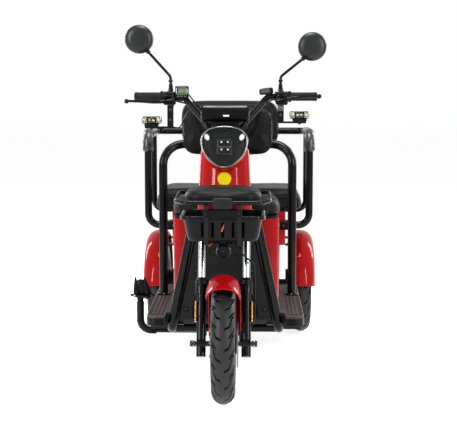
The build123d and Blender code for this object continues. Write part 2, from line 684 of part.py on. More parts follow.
def cableRoutes():
    top, pod = handlebarHeight, gripLine(176)
    shelfLeft, shelfRight = [top + row[2] + 3.5 for row in controlSides]
    brakeHose = [
        (-176.5, pod - 24, top - 15), (-127, barY + 12, top - 27), (-70, barY - 10, barLow + 27),
        (-56, barY - 32, barLow - 15), steerPoint(-8, -8, barAlong - 70), steerPoint(0, -8, 430),
        steerPoint(12, -26, 375), steerPoint(44, -26, 320), steerPoint(102, -20, 268),
        steerPoint(106, 18, 190), steerPoint(104, 22, 90), steerPoint(88, 62, 52), steerPoint(63.6, 62, 36),
    ]
    throttleWire = [
        (-176.5, pod + 14, top + 14), (-140, barY + 46, top + 17), (-91, barY + 22, top - 42),
        (-49, barY + 16, barLow + 35), (-40, barY + 24, barLow - 17), (-14, barY + 12, barLow - 57),
        steerPoint(-10, 46, barAlong - 90), steerPoint(-10, 45, 606),
    ]
    lampWire = [
        (176.5, pod + 16, top), (138, barY + 54, top - 8), (101, barY + 39, top - 56),
        (64, barY + 25, barLow + 21), (42, barY + 20, barLow - 17), (14, barY + 12, barLow - 57),
        steerPoint(10, 46, barAlong - 90), steerPoint(10, 45, 606),
    ]
    rearBrakeCable = [
        (176.5, pod - 24, top - 8), (127, barY + 12, top - 27), (70, barY - 10, barLow + 27),
        (58, barY - 30, barLow - 15), steerPoint(8, 2, barAlong - 48), steerPoint(8, 8, barAlong - 80),
        steerPoint(8, 10, 606),
    ]
    leftSignalWire = [
        (-184.4, barY + 18, shelfLeft), (-164, barY + 16, shelfLeft - 2), (-146, barY + 20, shelfLeft + 26),
        (-124, barY + 26, top - 51),
    ]
    rightSignalWire = [
        (184.4, barY + 18, shelfRight), (166, barY + 18, shelfRight + 2), (160, barY + 30, top - 47),
        (158, gripLine(158), top - 14),
    ]
    # radius, bend, points
    return (
        (3, 14, brakeHose), (2.5, 10, throttleWire), (2.5, 10, lampWire), (2.5, 10, rearBrakeCable),
        (2.2, 9, leftSignalWire), (2.2, 9, rightSignalWire),
    )


def cables():
    return {"control_cables": [rod(points, radius, bend) for radius, bend, points in cableRoutes()]}


def build():
    nodes = {}
    for group in (
        frontWheel, rearWheels, fork, mudguard, caliper, frame, cowl, headlight, basket, carrier,
        legShield, deck, pedal, seatBox, rearBox, hoop, armrests, fenders, rearAxle, handlebar,
        controls, cables,
    ):
        nodes.update(group())
    return nodes


os.makedirs("parts", exist_ok=True)
for node, shapes in build().items():
    solids = [solid for shape in shapes for solid in shape.solids()]
    export_step(Compound(solids), f"parts/{node}.step")
    print(node, len(solids))
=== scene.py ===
import json
import math
import bmesh
import bpy
from mathutils import Matrix, Vector


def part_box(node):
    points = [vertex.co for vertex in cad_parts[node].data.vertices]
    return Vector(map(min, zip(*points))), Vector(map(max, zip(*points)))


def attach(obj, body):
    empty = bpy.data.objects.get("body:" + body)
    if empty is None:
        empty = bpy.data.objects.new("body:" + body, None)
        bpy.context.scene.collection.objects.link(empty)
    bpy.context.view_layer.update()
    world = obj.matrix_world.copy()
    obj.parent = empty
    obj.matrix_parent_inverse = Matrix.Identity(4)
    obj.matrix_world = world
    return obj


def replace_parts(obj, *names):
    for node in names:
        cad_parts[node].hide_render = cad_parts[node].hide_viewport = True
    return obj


# Electric passenger tricycle scooter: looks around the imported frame, in metres.
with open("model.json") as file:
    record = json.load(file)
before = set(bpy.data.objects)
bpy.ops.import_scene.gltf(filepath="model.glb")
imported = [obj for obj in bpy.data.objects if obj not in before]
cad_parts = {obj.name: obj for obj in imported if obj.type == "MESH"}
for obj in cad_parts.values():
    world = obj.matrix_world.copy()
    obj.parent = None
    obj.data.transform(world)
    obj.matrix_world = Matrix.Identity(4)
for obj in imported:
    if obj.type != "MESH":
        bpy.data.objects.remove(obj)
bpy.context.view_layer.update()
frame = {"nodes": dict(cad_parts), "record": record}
nodes = frame["nodes"]
scene = bpy.context.scene
scene.view_settings.view_transform = "Standard"
print("frame loaded:", len(nodes), "nodes")

layout = {
    "frontAxleY": -0.627, "axleHeight": 0.202, "rearAxleY": 0.573, "rearTrack": 0.62,
    "rake": 20.0, "barY": -0.3408, "barLow": 0.9066, "barTop": 1.027, "barHalf": 0.322,
}


def back(millimetres):  # distance behind the front axle
    return layout["frontAxleY"] + millimetres / 1000


def steerPoint(x, v, w):  # millimetres across, behind and along the fork
    tilt = math.radians(layout["rake"])
    y = layout["frontAxleY"] + (v * math.cos(tilt) + w * math.sin(tilt)) / 1000
    z = layout["axleHeight"] + (-v * math.sin(tilt) + w * math.cos(tilt)) / 1000
    return Vector((x / 1000, y, z))


def gripLine(x):  # the grips sweep back from the risers
    return layout["barY"] + 0.04 + (abs(x) - 0.15) * 0.03 / (layout["barHalf"] - 0.15)


# camera fitted to the photograph's frame of 457 by 436
cameraSettings = {
    "place": (0.0874, -4.4325, 1.046), "turn": (83.723, 0.0, 1.067), "lens": 90.77, "sensor": 36.0,
}
cameraData = bpy.data.cameras.new("photo_camera")
cameraData.lens = cameraSettings["lens"]
cameraData.sensor_width = cameraSettings["sensor"]
camera = bpy.data.objects.new("photo_camera", cameraData)
camera.location = cameraSettings["place"]
camera.rotation_euler = [math.radians(angle) for angle in cameraSettings["turn"]]
scene.collection.objects.link(camera)
scene.camera = camera

# studio: pale floor, white surround, soft boxes
studio = {
    "floorColor": (0.86, 0.86, 0.86), "floorSize": 60.0, "floorGlow": 0.66, "fill": 0.42,
    "boxes": [  # name, place, aim, width, height, watts
        ("key_strip", (-2.4, -2.5, 2.0), (0.0, -0.2, 0.6), 0.42, 2.0, 95),
        ("fill_strip", (2.5, -2.3, 1.8), (0.0, -0.1, 0.6), 0.36, 2.0, 70),
        ("top_box", (0.0, -0.3, 3.2), (0.0, 0.0, 0.5), 1.0, 1.0, 60),
        ("rear_left_strip", (-2.2, 2.0, 1.6), (0.0, 0.3, 0.6), 0.3, 1.8, 45),
        ("rear_right_strip", (2.2, 2.0, 1.6), (0.0, 0.3, 0.6), 0.3, 1.8, 45),
    ],
}


def addNode(tree, kind, **values):
    node = tree.nodes.new("ShaderNode" + kind)
    for name, value in values.items():
        node.inputs[name.replace("_", " ")].default_value = value
    return node


def backgroundRays(tree):  # 1 for camera, glossy and transmission rays
    rays = addNode(tree, "LightPath")
    total = rays.outputs["Is Camera Ray"]
    for name in ("Is Glossy Ray", "Is Transmission Ray"):
        most = addNode(tree, "Math")
        most.operation = "MAXIMUM"
        tree.links.new(total, most.inputs[0])
        tree.links.new(rays.outputs[name], most.inputs[1])
        total = most.outputs[0]
    return total


def buildStudio():
    world = bpy.data.worlds.new("studio_surround")
    scene.world = world
    world.use_nodes = True
    tree = world.node_tree
    tree.nodes.clear()
    mix, out = addNode(tree, "MixShader"), addNode(tree, "OutputWorld")
    dim = addNode(tree, "Background", Strength=studio["fill"])
    white = addNode(tree, "Background", Color=(1, 1, 1, 1), Strength=1.0)
    tree.links.new(backgroundRays(tree), mix.inputs["Fac"])
    tree.links.new(dim.outputs[0], mix.inputs[1])
    tree.links.new(white.outputs[0], mix.inputs[2])
    tree.links.new(mix.outputs[0], out.inputs["Surface"])
    for name, place, aim, width, height, watts in studio["boxes"]:
        lamp = bpy.data.lights.new(name, "AREA")
        lamp.shape = "RECTANGLE"
        lamp.size, lamp.size_y, lamp.energy = width, height, watts
        box = bpy.data.objects.new(name, lamp)
        box.location = place
        box.rotation_euler = (Vector(aim) - Vector(place)).to_track_quat("-Z", "Y").to_euler()
        scene.collection.objects.link(box)
    bm = bmesh.new()
    bmesh.ops.create_grid(bm, x_segments=1, y_segments=1, size=studio["floorSize"] / 2)
    mesh = bpy.data.meshes.new("studio_floor")
    bm.to_mesh(mesh)
    bm.free()
    floor = bpy.data.objects.new("studio_floor", mesh)
    scene.collection.objects.link(floor)
    paper = bpy.data.materials.new("floor_paper")
    paper.use_nodes = True
    tree = paper.node_tree
    shader = tree.nodes["Principled BSDF"]
    shader.inputs["Base Color"].default_value = (*studio["floorColor"], 1)
    shader.inputs["Roughness"].default_value = 0.9
    shader.inputs["Specular IOR Level"].default_value = 0.1
    shader.inputs["Emission Color"].default_value = (1, 1, 1, 1)
    glow = addNode(tree, "Math")
    glow.operation = "MULTIPLY"
    glow.inputs[1].default_value = studio["floorGlow"]
    tree.links.new(backgroundRays(tree), glow.inputs[0])
    tree.links.new(glow.outputs[0], shader.inputs["Emission Strength"])
    mesh.materials.append(paper)


buildStudio()
print("studio and camera set")

# materials: one row each, grain and tone from noise on Object coordinates
finishes = {  # tone, second tone, roughness, tone scale, bump kind with scale, strength and depth, the rest
    "redPaint": ((0.4, 0.003, 0.005), (0.33, 0.0024, 0.004), (0.16, 0.24), 9, ("NOISE", 900, 0.025, 0.0006),
        {"coat": 0.21, "coatRough": 0.05, "specular": 0.03}),
    "blackPaint": ((0.0022, 0.0022, 0.0024), (0.0036, 0.0036, 0.0038), (0.14, 0.24), 14, ("NOISE", 700, 0.03, 0.0006),
        {"coat": 0.23, "coatRough": 0.06, "specular": 0.04}),
    "blackPlastic": ((0.0022, 0.0026, 0.0025), (0.004, 0.0044, 0.0043), (0.28, 0.42), 20,
        ("VORONOI", 1500, 0.1, 0.0004), {"specular": 0.12}),
    "greyPlastic": ((0.0085, 0.0088, 0.0088), (0.0125, 0.0128, 0.0128), (0.42, 0.56), 12,
        ("VORONOI", 1100, 0.14, 0.0005), {"specular": 0.14}),
    "deckPlastic": ((0.03, 0.026, 0.025), (0.05, 0.044, 0.042), (0.5, 0.68), 25, ("VORONOI", 700, 0.25, 0.0008),
        {"specular": 0.35}),
    "glossBlack": ((0.0016, 0.0018, 0.002), (0.0026, 0.0028, 0.003), (0.06, 0.12), 8, ("NOISE", 400, 0.015, 0.0004),
        {"coat": 0.11, "coatRough": 0.02, "specular": 0.06}),
    "leatherette": ((0.0048, 0.005, 0.005), (0.0085, 0.0087, 0.0087), (0.36, 0.48), 16, ("LEATHER", 420, 0.35, 0.0009),
        {"specular": 0.07}),
    "foamRubber": ((0.012, 0.012, 0.0125), (0.02, 0.02, 0.021), (0.25, 0.34), 30, ("NOISE", 1200, 0.2, 0.0006),
        {"specular": 0.62}),
    "rubber": ((0.0048, 0.005, 0.005), (0.008, 0.0082, 0.0082), (0.42, 0.58), 22, ("NOISE", 1000, 0.15, 0.0005),
        {"specular": 0.16}),
    "tyreRubber": ((0.0105, 0.0115, 0.0108), (0.0175, 0.019, 0.018), (0.42, 0.56), 18, ("NOISE", 800, 0.25, 0.0008),
        {"specular": 0.26}),
    # near-black rubber for the faces in the tread cuts: painted shade in the grooves
    "paintedGrooveShade": ((0.0012, 0.0013, 0.0013), (0.0022, 0.0023, 0.0023), (0.6, 0.75), 18, ("NOISE", 800, 0.25, 0.0008),
        {"specular": 0.05}),
    "rimPaint": ((0.012, 0.012, 0.013), (0.02, 0.02, 0.021), (0.28, 0.4), 15, ("NOISE", 900, 0.05, 0.0005),
        {"specular": 0.45}),
    "chrome": ((0.56, 0.57, 0.58), (0.48, 0.49, 0.5), (0.05, 0.12), 30, ("NOISE", 300, 0.01, 0.0003), {"metal": 1.0}),
    "darkChrome": ((0.24, 0.25, 0.245), (0.17, 0.18, 0.175), (0.08, 0.18), 30, ("NOISE", 300, 0.01, 0.0003),
        {"metal": 1.0}),
    "brushedSteel": ((0.27, 0.27, 0.28), (0.2, 0.2, 0.21), (0.28, 0.42), 40, ("NOISE", 900, 0.08, 0.0004),
        {"metal": 1.0}),
    "darkMetal": ((0.035, 0.035, 0.037), (0.055, 0.055, 0.057), (0.4, 0.55), 25, ("NOISE", 500, 0.2, 0.0006),
        {"metal": 0.6}),
    "clearLens": ((0.95, 0.97, 0.97), (0.92, 0.94, 0.94), (0.02, 0.05), 10, ("NOISE", 150, 0.01, 0.0003),
        {"clear": 1.0, "ior": 1.12, "coat": 0.18, "coatRough": 0.02}),
    "redLens": ((0.45, 0.006, 0.006), (0.36, 0.004, 0.004), (0.06, 0.12), 20, ("VORONOI", 260, 0.25, 0.0012),
        {"coat": 0.8, "coatRough": 0.03}),
    "amberLens": ((0.7, 0.28, 0.008), (0.55, 0.2, 0.005), (0.08, 0.16), 30, ("VORONOI", 420, 0.35, 0.001),
        {"coat": 0.8, "coatRough": 0.03}),
    "mirrorPlastic": ((0.0055, 0.006, 0.006), (0.008, 0.0085, 0.0085), (0.34, 0.42), 26, ("NOISE", 900, 0.04, 0.0003),
        {"specular": 0.3}),
    "lampWhite": ((0.86, 0.88, 0.9), (0.78, 0.8, 0.82), (0.1, 0.2), 40, ("VORONOI", 300, 0.2, 0.0008),
        {"coat": 0.4, "coatRough": 0.02}),
    "ledAmber": ((0.7, 0.52, 0.24), (0.58, 0.4, 0.15), (0.1, 0.2), 60, ("NOISE", 200, 0.1, 0.0005),
        {"coat": 0.5, "coatRough": 0.02}),
    "reflectorGrey": ((0.34, 0.34, 0.32), (0.24, 0.24, 0.22), (0.15, 0.3), 60, ("VORONOI", 500, 0.3, 0.0008),
        {"specular": 0.3}),
    "discYellow": ((0.72, 0.56, 0.004), (0.64, 0.49, 0.003), (0.2, 0.32), 50, ("NOISE", 600, 0.03, 0.0003),
        {"coat": 0.2, "coatRough": 0.04, "specular": 0.1}),
    # piping a tone lighter than the leatherette: real piping, its lighter tone a painted highlight along the seams
    "pipingPaintedHighlight": ((0.01, 0.0105, 0.0105), (0.016, 0.0165, 0.0165), (0.34, 0.46), 60, ("NOISE", 900, 0.15, 0.0004),
        {"specular": 0.16}),
    "screenGreen": ((0.16, 0.22, 0.11), (0.1, 0.15, 0.07), (0.1, 0.16), 180, ("NOISE", 100, 0.02, 0.0003),
        {"specular": 0.2}),
    "buttonGrey": ((0.055, 0.057, 0.06), (0.08, 0.082, 0.085), (0.35, 0.5), 60, ("NOISE", 900, 0.1, 0.0004),
        {"specular": 0.25}),
    "plugOrange": ((0.72, 0.1, 0.01), (0.55, 0.07, 0.006), (0.4, 0.55), 50, ("NOISE", 900, 0.1, 0.0004),
        {"specular": 0.25}),
    "plugTeal": ((0.02, 0.16, 0.16), (0.015, 0.11, 0.11), (0.4, 0.55), 50, ("NOISE", 900, 0.1, 0.0004),
        {"specular": 0.25}),
    "mirrorGlass": ((0.88, 0.9, 0.92), (0.84, 0.86, 0.88), (0.01, 0.03), 12, ("NOISE", 60, 0.004, 0.0002),
        {"metal": 1.0}),
}
finishSockets = {
    "Metallic": ("metal", 0.0), "Coat Weight": ("coat", 0.0), "Coat Roughness": ("coatRough", 0.03),
    "Specular IOR Level": ("specular", 0.5), "Transmission Weight": ("clear", 0.0), "IOR": ("ior", 1.5),
}


def buildFinish(name, row):
    color, shade, rough, toneScale, (kind, scale, strength, depth), rest = row
    material = bpy.data.materials.new(name)
    material.use_nodes = True
    tree = material.node_tree
    shader = tree.nodes["Principled BSDF"]
    place = addNode(tree, "TexCoord")
    tone = addNode(tree, "TexNoise", Scale=toneScale, Detail=6)
    ramp = addNode(tree, "ValToRGB")
    for stop, position, value in zip(ramp.color_ramp.elements, (0.35, 0.68), (color, shade)):
        stop.position, stop.color = position, (*value, 1)
    gloss = addNode(tree, "MapRange", From_Min=0.3, From_Max=0.7, To_Min=rough[0], To_Max=rough[1])
    if kind == "NOISE":
        grain = addNode(tree, "TexNoise", Scale=scale, Detail=3)
    else:
        grain = addNode(tree, "TexVoronoi", Scale=scale)
        if kind == "LEATHER":
            grain.feature = "DISTANCE_TO_EDGE"
    bump = addNode(tree, "Bump", Strength=strength, Distance=depth)
    for texture in (tone, grain):
        tree.links.new(place.outputs["Object"], texture.inputs["Vector"])
    tree.links.new(tone.outputs["Fac"], ramp.inputs["Fac"])
    tree.links.new(tone.outputs["Fac"], gloss.inputs["Value"])
    tree.links.new(grain.outputs["Fac" if kind == "NOISE" else "Distance"], bump.inputs["Height"])
    tree.links.new(ramp.outputs["Color"], shader.inputs["Base Color"])
    tree.links.new(gloss.outputs["Result"], shader.inputs["Roughness"])
    tree.links.new(bump.outputs["Normal"], shader.inputs["Normal"])
    for socket, (key, usual) in finishSockets.items():
        shader.inputs[socket].default_value = rest.get(key, usual)
    return material


finish = {name: buildFinish(name, row) for name, row in finishes.items()}
slotFinish = {
    "red_paint": "redPaint", "black_paint": "blackPaint", "black_plastic": "blackPlastic",
    "grey_plastic": "greyPlastic", "deck_plastic": "deckPlastic", "gloss_black": "glossBlack",
    "leatherette": "leatherette", "foam_rubber": "foamRubber", "rubber": "rubber", "tyre": "tyreRubber",
    "rim_metal": "rimPaint", "chrome": "chrome", "steel": "brushedSteel", "dark_metal": "darkMetal",
    "clear_lens": "clearLens", "red_lens": "redLens", "amber_lens": "amberLens", "mirror_glass": "mirrorGlass",
}
for row in frame["record"]["subparts"]:
    mesh = nodes[row["node"]].data
    mesh.materials.clear()
    mesh.materials.append(finish[slotFinish[row["material_slot"]]])
nodes["front_axle"].data.materials[0] = finish["darkMetal"]
print("finishes on", len(nodes), "nodes")


def turned(direction, origin):  # matrix that points +Z along a direction
    turn = Vector(direction).to_track_quat("Z", "Y").to_matrix().to_4x4()
    return Matrix.Translation(Vector(origin)) @ turn


def addBox(bm, centre, size, bevel=0.0, segments=2, turn=None):
    matrix = Matrix.Translation(Vector(centre)) @ (turn or Matrix()) @ Matrix.Diagonal((*size, 1.0))
    made = bmesh.ops.create_cube(bm, size=1.0, matrix=matrix)
    if bevel:
        edges = list({edge for vert in made["verts"] for edge in vert.link_edges})
        bmesh.ops.bevel(bm, geom=edges, offset=bevel, affect="EDGES", segments=segments, profile=0.5, material=-1)


def addRod(bm, start, end, radius, tip=None, segments=24, bevel=0.0):
    start, end = Vector(start), Vector(end)
    made = bmesh.ops.create_cone(
        bm, cap_ends=True, segments=segments, radius1=radius, radius2=radius if tip is None else tip,
        depth=(end - start).length, matrix=turned(end - start, (start + end) / 2))
    if bevel:
        caps = [face for face in {f for v in made["verts"] for f in v.link_faces} if len(face.verts) > 4]
        edges = list({edge for face in caps for edge in face.edges})
        bmesh.ops.bevel(bm, geom=edges, offset=bevel, affect="EDGES", segments=2, profile=0.5, material=-1)


def addLathe(bm, profile, origin, direction, steps=48):  # profile: distance along, radius
    matrix = turned(direction, origin)
    verts = [bm.verts.new(matrix @ Vector((radius, 0.0, along))) for along, radius in profile]
    edges = [bm.edges.new(pair) for pair in zip(verts, verts[1:])]
    bmesh.ops.spin(
        bm, geom=verts + edges, cent=Vector(origin), axis=Vector(direction).normalized(),
        angle=2 * math.pi, steps=steps, use_merge=True, use_duplicate=False)


def addTube(bm, points, radius, bends=8, sides=3, closed=False, swell=None, order=3):
    curve = bpy.data.curves.new("tube_path", "CURVE")
    curve.dimensions = "3D"
    curve.bevel_depth, curve.bevel_resolution, curve.resolution_u = radius, sides, bends
    curve.use_fill_caps = True
    spline = curve.splines.new("NURBS")
    spline.points.add(len(points) - 1)
    for number, (target, point) in enumerate(zip(spline.points, points)):
        target.co = (*point, 1.0)
        target.radius = swell[number] if swell else 1.0
    spline.order_u = order
    spline.use_endpoint_u = not closed
    spline.use_cyclic_u = closed
    holder = bpy.data.objects.new("tube_path", curve)
    scene.collection.objects.link(holder)
    mesh = bpy.data.meshes.new_from_object(holder)
    bm.from_mesh(mesh)
    bpy.data.objects.remove(holder)
    bpy.data.curves.remove(curve)
    bpy.data.meshes.remove(mesh)


def addBolt(bm, place, direction, size, sixSided=True):  # washer, head and a turned-in middle
    place, direction = Vector(place), Vector(direction).normalized()
    addLathe(bm, [(0, 0), (0, size * 1.25), (size * 0.22, size * 1.2), (size * 0.25, 0)], place, direction, 20)
    if sixSided:
        addRod(bm, place + direction * size * 0.2, place + direction * size * 0.85, size, segments=6, bevel=size * 0.1)
        return
    dome = [(0.2, 0), (0.2, 0.95), (0.5, 0.86), (0.72, 0.6), (0.76, 0.42), (0.5, 0.36), (0.5, 0)]
    addLathe(bm, [(along * size, radius * size) for along, radius in dome], place, direction, 20)


def newPiece(name, bm, finishName, body, sharp=35.0):  # the piece's one slot takes the named finish
    bmesh.ops.remove_doubles(bm, verts=bm.verts, dist=1e-6)
    bmesh.ops.recalc_face_normals(bm, faces=bm.faces)
    mesh = bpy.data.meshes.new(name)
    bm.to_mesh(mesh)
    bm.free()
    mesh.shade_smooth()
    mesh.set_sharp_from_angle(angle=math.radians(sharp))
    mesh.materials.append(finish[finishName])
    piece = bpy.data.objects.new(name, mesh)
    scene.collection.objects.link(piece)
    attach(piece, body)
    return piece


def newMeshes(count):
    return [bmesh.new() for number in range(count)]


def smoothed(bm, verts, passes):
    for number in range(passes):
        bmesh.ops.smooth_vert(bm, verts=verts, factor=0.5, use_axis_x=True, use_axis_y=True, use_axis_z=True)


def smoothStep(low, high, value):
    share = min(1.0, max(0.0, (value - low) / (high - low)))
    return share * share * (3 - 2 * share)


def arcPoints(centre, first, second, degrees):  # round a centre, from one arm towards the other
    arms = [(math.cos(angle), math.sin(angle)) for angle in map(math.radians, degrees)]
    return [Vector(centre) + Vector(first) * near + Vector(second) * far for near, far in arms]


# tyres: a spun section with slanted cuts pressed into the tread; faces in the cuts take near-black rubber as painted
# shade
tyreShape = {
    "radius": 0.202, "halfWidth": 0.04, "crownPoints": 56, "aroundSteps": 720,
    "pitches": 18, "cutDepth": 0.0055, "slant": 1.35, "crownRadius": 0.0402, "crownReach": 84,
    "wall": [(0.0398, 0.16), (0.0384, 0.1565), (0.0392, 0.1545), (0.0372, 0.148), (0.0335, 0.1415), (0.0275, 0.1375),
             (0.0262, 0.134), (0.026, 0.127)],  # across and from the axle, down to the bead
}


def tyreSection():
    crownRadius, count, wall = tyreShape["crownRadius"], tyreShape["crownPoints"], tyreShape["wall"]
    reach = math.asin(tyreShape["halfWidth"] / crownRadius * 0.9999)
    crown = []
    for number in range(count + 1):
        angle = reach * (2 * number / count - 1)
        crown.append((crownRadius * math.sin(angle), tyreShape["radius"] - crownRadius * (1 - math.cos(angle))))
    return [(-x, r) for x, r in reversed(wall)] + crown + wall


def cutDepth(lateral, turn):  # lateral -1 to 1 across the crown, turn in pitches
    side = abs(lateral)
    shift = 0.5 if lateral > 0 else 0.0
    kink = 0.1 * math.sin(side * 4 * math.pi)
    main = (turn + tyreShape["slant"] * side + kink + shift) % 1.0
    second = (turn + tyreShape["slant"] * 0.8 * side + shift + 0.45) % 1.0
    width = 0.045 + 0.035 * side
    depth = 1 - smoothStep(width * 0.5, width, abs(main - 0.5))
    depth *= smoothStep(0.06, 0.14, side) * (1 - smoothStep(0.72, 0.8, side))
    other = 1 - smoothStep(width * 0.5, width, abs(second - 0.5))
    depth = max(depth, other * smoothStep(0.34, 0.42, side) * (1 - smoothStep(0.82, 0.9, side)) * 0.9)
    return depth * tyreShape["cutDepth"]


def buildTyre(name, node, body, centre):
    bm = bmesh.new()
    section = tyreSection()
    addLathe(bm, section + section[:1], centre, (1, 0, 0), tyreShape["aroundSteps"])
    bmesh.ops.remove_doubles(bm, verts=bm.verts, dist=1e-6)
    hub = tyreShape["radius"] - tyreShape["crownRadius"]
    for vert in bm.verts:
        offset = vert.co - centre
        radial = math.hypot(offset.y, offset.z)
        if radial < hub - 0.002:
            continue
        lateral = math.atan2(offset.x, radial - hub) / math.radians(tyreShape["crownReach"])
        turn = math.atan2(offset.z, offset.y) / (2 * math.pi) * tyreShape["pitches"]
        depth = cutDepth(lateral, turn)
        vert.tag = depth > 0.45 * tyreShape["cutDepth"]
        if depth:
            outward = Vector((0, offset.y, offset.z)).normalized()
            crown = Vector((offset.x, 0, 0)) + outward * (radial - hub)
            vert.co -= crown.normalized() * depth
    # faces down in the cuts take the near-black rubber: painted shade in the grooves
    for face in bm.faces:
        face.material_index = 1 if sum(vert.tag for vert in face.verts) > 1 else 0
    tyre = newPiece(name, bm, "tyreRubber", body, sharp=60)
    tyre.data.materials.append(finish["paintedGrooveShade"])
    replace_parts(tyre, node)


frontHub = Vector((0, layout["frontAxleY"], layout["axleHeight"]))
buildTyre("front_tyre_tread", "front_tyre", "front_wheel", frontHub)
for side, label in ((1, "left"), (-1, "right")):
    rearHub = Vector((side * layout["rearTrack"] / 2, layout["rearAxleY"], layout["axleHeight"]))
    buildTyre(f"rear_{label}_tyre_tread", f"rear_{label}_tyre", f"rear_{label}_wheel", rearHub)
print("tyres cut")

# padded pieces: voxel remesh, pressure, capped swelling
padShapes = {
    "carrier_pad": {"node": "carrier_cushion", "body": "chassis", "voxel": 0.0045, "shrink": (0.96, 1.0, 1.0),
                    "cap": 0.008, "flat": (0, 0, -1), "fill": 0.8, "seam": ((0, 0, -0.016), 0.0016)},
    "driver_pad": {"node": "driver_saddle", "body": "driver_seat", "voxel": 0.006, "shrink": (0.99, 0.985, 0.97),
                   "cap": 0.008, "flat": (0, 0, -1), "fill": 0.75, "seam": ((0, 0, -0.024), 0.0018)},
    "bench_pad": {"node": "bench_cushion", "body": "bench_seat", "voxel": 0.006, "shrink": (0.995, 0.985, 0.97),
                  "cap": 0.008, "flat": (0, 0, -1), "fill": 0.75, "seam": ((0, 0, -0.028), 0.002)},
    "driver_back_pad": {"node": "driver_backrest", "body": "chassis", "voxel": 0.0045, "shrink": (0.995, 0.96, 0.99),
                        "cap": 0.004, "flat": (0, 1, 0), "fill": 0.7, "seam": ((0, 0.016, 0), 0.0016)},
    "bench_back_pad": {"node": "bench_backrest", "body": "chassis", "voxel": 0.005, "shrink": (0.995, 0.96, 0.985),
                       "cap": 0.004, "flat": (0, 1, 0), "fill": 0.7, "seam": ((0, 0.018, 0), 0.0018)},
}
stuffing = {"frames": 20, "pressure": 4.0, "mass": 0.3, "stretch": 40.0, "bend": 8.0, "held": 0.004, "smoothing": 10}
horseshoe = {  # the sewn channel in the driver's backrest, across and up
    "path": [(-0.127, 0.992), (-0.125, 0.97), (-0.119, 0.937), (-0.106, 0.897), (-0.086, 0.868), (-0.05, 0.852),
             (0.0, 0.847), (0.05, 0.852), (0.086, 0.868), (0.106, 0.897), (0.119, 0.937), (0.125, 0.97),
             (0.127, 0.992)],
    "halfWidth": 0.011, "depth": 0.012,
}


def remeshed(name, shape):
    source = bmesh.new()
    source.from_mesh(nodes[shape["node"]].data)
    bmesh.ops.remove_doubles(source, verts=source.verts, dist=1e-5)
    low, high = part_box(shape["node"])
    rest = (low + high) / 2
    for axis in range(3):  # shrink towards the face that rests on something
        if shape["flat"][axis]:
            rest[axis] = low[axis] if shape["flat"][axis] < 0 else high[axis]
    bmesh.ops.scale(source, vec=shape["shrink"], space=Matrix.Translation(-rest), verts=source.verts)
    mesh = bpy.data.meshes.new(name)
    source.to_mesh(mesh)
    source.free()
    pad = bpy.data.objects.new(name, mesh)
    scene.collection.objects.link(pad)
    remesh = pad.modifiers.new("voxels", "REMESH")
    remesh.mode, remesh.voxel_size = "VOXEL", shape["voxel"]
    bpy.context.view_layer.update()
    pad.data = bpy.data.meshes.new_from_object(pad.evaluated_get(bpy.context.evaluated_depsgraph_get()))
    pad.modifiers.clear()
    return pad


def swell(pad, shape):
    rest = [vert.co.copy() for vert in pad.data.vertices]
    direction = Vector(shape["flat"])
    face = max(point.dot(direction) for point in rest)
    held = pad.vertex_groups.new(name="held")
    held.add([n for n, point in enumerate(rest) if point.dot(direction) > face - stuffing["held"]], 1.0, "REPLACE")
    cloth = pad.modifiers.new("stuffing", "CLOTH")
    settings = cloth.settings
    settings.use_pressure, settings.uniform_pressure_force = True, stuffing["pressure"]
    settings.effector_weights.gravity = 0.0
    settings.mass, settings.quality = stuffing["mass"], 4
    settings.tension_stiffness = settings.compression_stiffness = stuffing["stretch"]
    settings.bending_stiffness = stuffing["bend"]
    settings.vertex_group_mass = "held"
    cloth.point_cache.frame_start, cloth.point_cache.frame_end = 1, stuffing["frames"]
    for number in range(1, stuffing["frames"] + 1):
        scene.frame_set(number)
    evaluated = pad.evaluated_get(bpy.context.evaluated_depsgraph_get())
    swollen = [vert.co.copy() for vert in evaluated.data.vertices]
    pad.modifiers.clear()
    pad.vertex_groups.clear()
    scene.frame_set(1)
    for vert, start, end in zip(pad.data.vertices, rest, swollen):
        move = end - start
        if move.length > shape["cap"]:
            move *= shape["cap"] / move.length
        vert.co = start + move
    bm = bmesh.new()
    bm.from_mesh(pad.data)
    smoothed(bm, bm.verts, stuffing["smoothing"])
    bm.to_mesh(pad.data)
    bm.free()


def pressChannel(pad):
    path = [Vector((x, 0, z)) for x, z in horseshoe["path"]]
    front = min(vert.co.y for vert in pad.data.vertices)
    for vert in pad.data.vertices:
        if vert.co.y > front + 0.035:
            continue
        point = Vector((vert.co.x, 0, vert.co.z))
        near = 1.0
        for start, end in zip(path, path[1:]):
            run = end - start
            share = min(1.0, max(0.0, (point - start).dot(run) / run.length_squared))
            near = min(near, (point - start - run * share).length)
        vert.co.y += horseshoe["depth"] * (1 - smoothStep(0.25, 1.0, near / horseshoe["halfWidth"]))


def seamLoop(pad, point, normal):
    cut = bmesh.new()
    cut.from_mesh(pad.data)
    found = bmesh.ops.bisect_plane(
        cut, geom=cut.verts[:] + cut.edges[:] + cut.faces[:], plane_co=point, plane_no=normal)["geom_cut"]
    edges = [item for item in found if isinstance(item, bmesh.types.BMEdge)]
    ahead = {}
    for edge in edges:
        for vert in edge.verts:
            ahead.setdefault(vert, []).append(edge.other_vert(vert))
    start = edges[0].verts[0]
    loop, before, here = [start.co.copy()], None, start
    while True:
        onward = [vert for vert in ahead[here] if vert is not before]
        if not onward or onward[0] is start:
            break
        before, here = here, onward[0]
        loop.append(here.co.copy())
    cut.free()
    thinned = [loop[0]]
    for place in loop[1:]:
        if (place - thinned[-1]).length > 0.012:
            thinned.append(place)
    return thinned


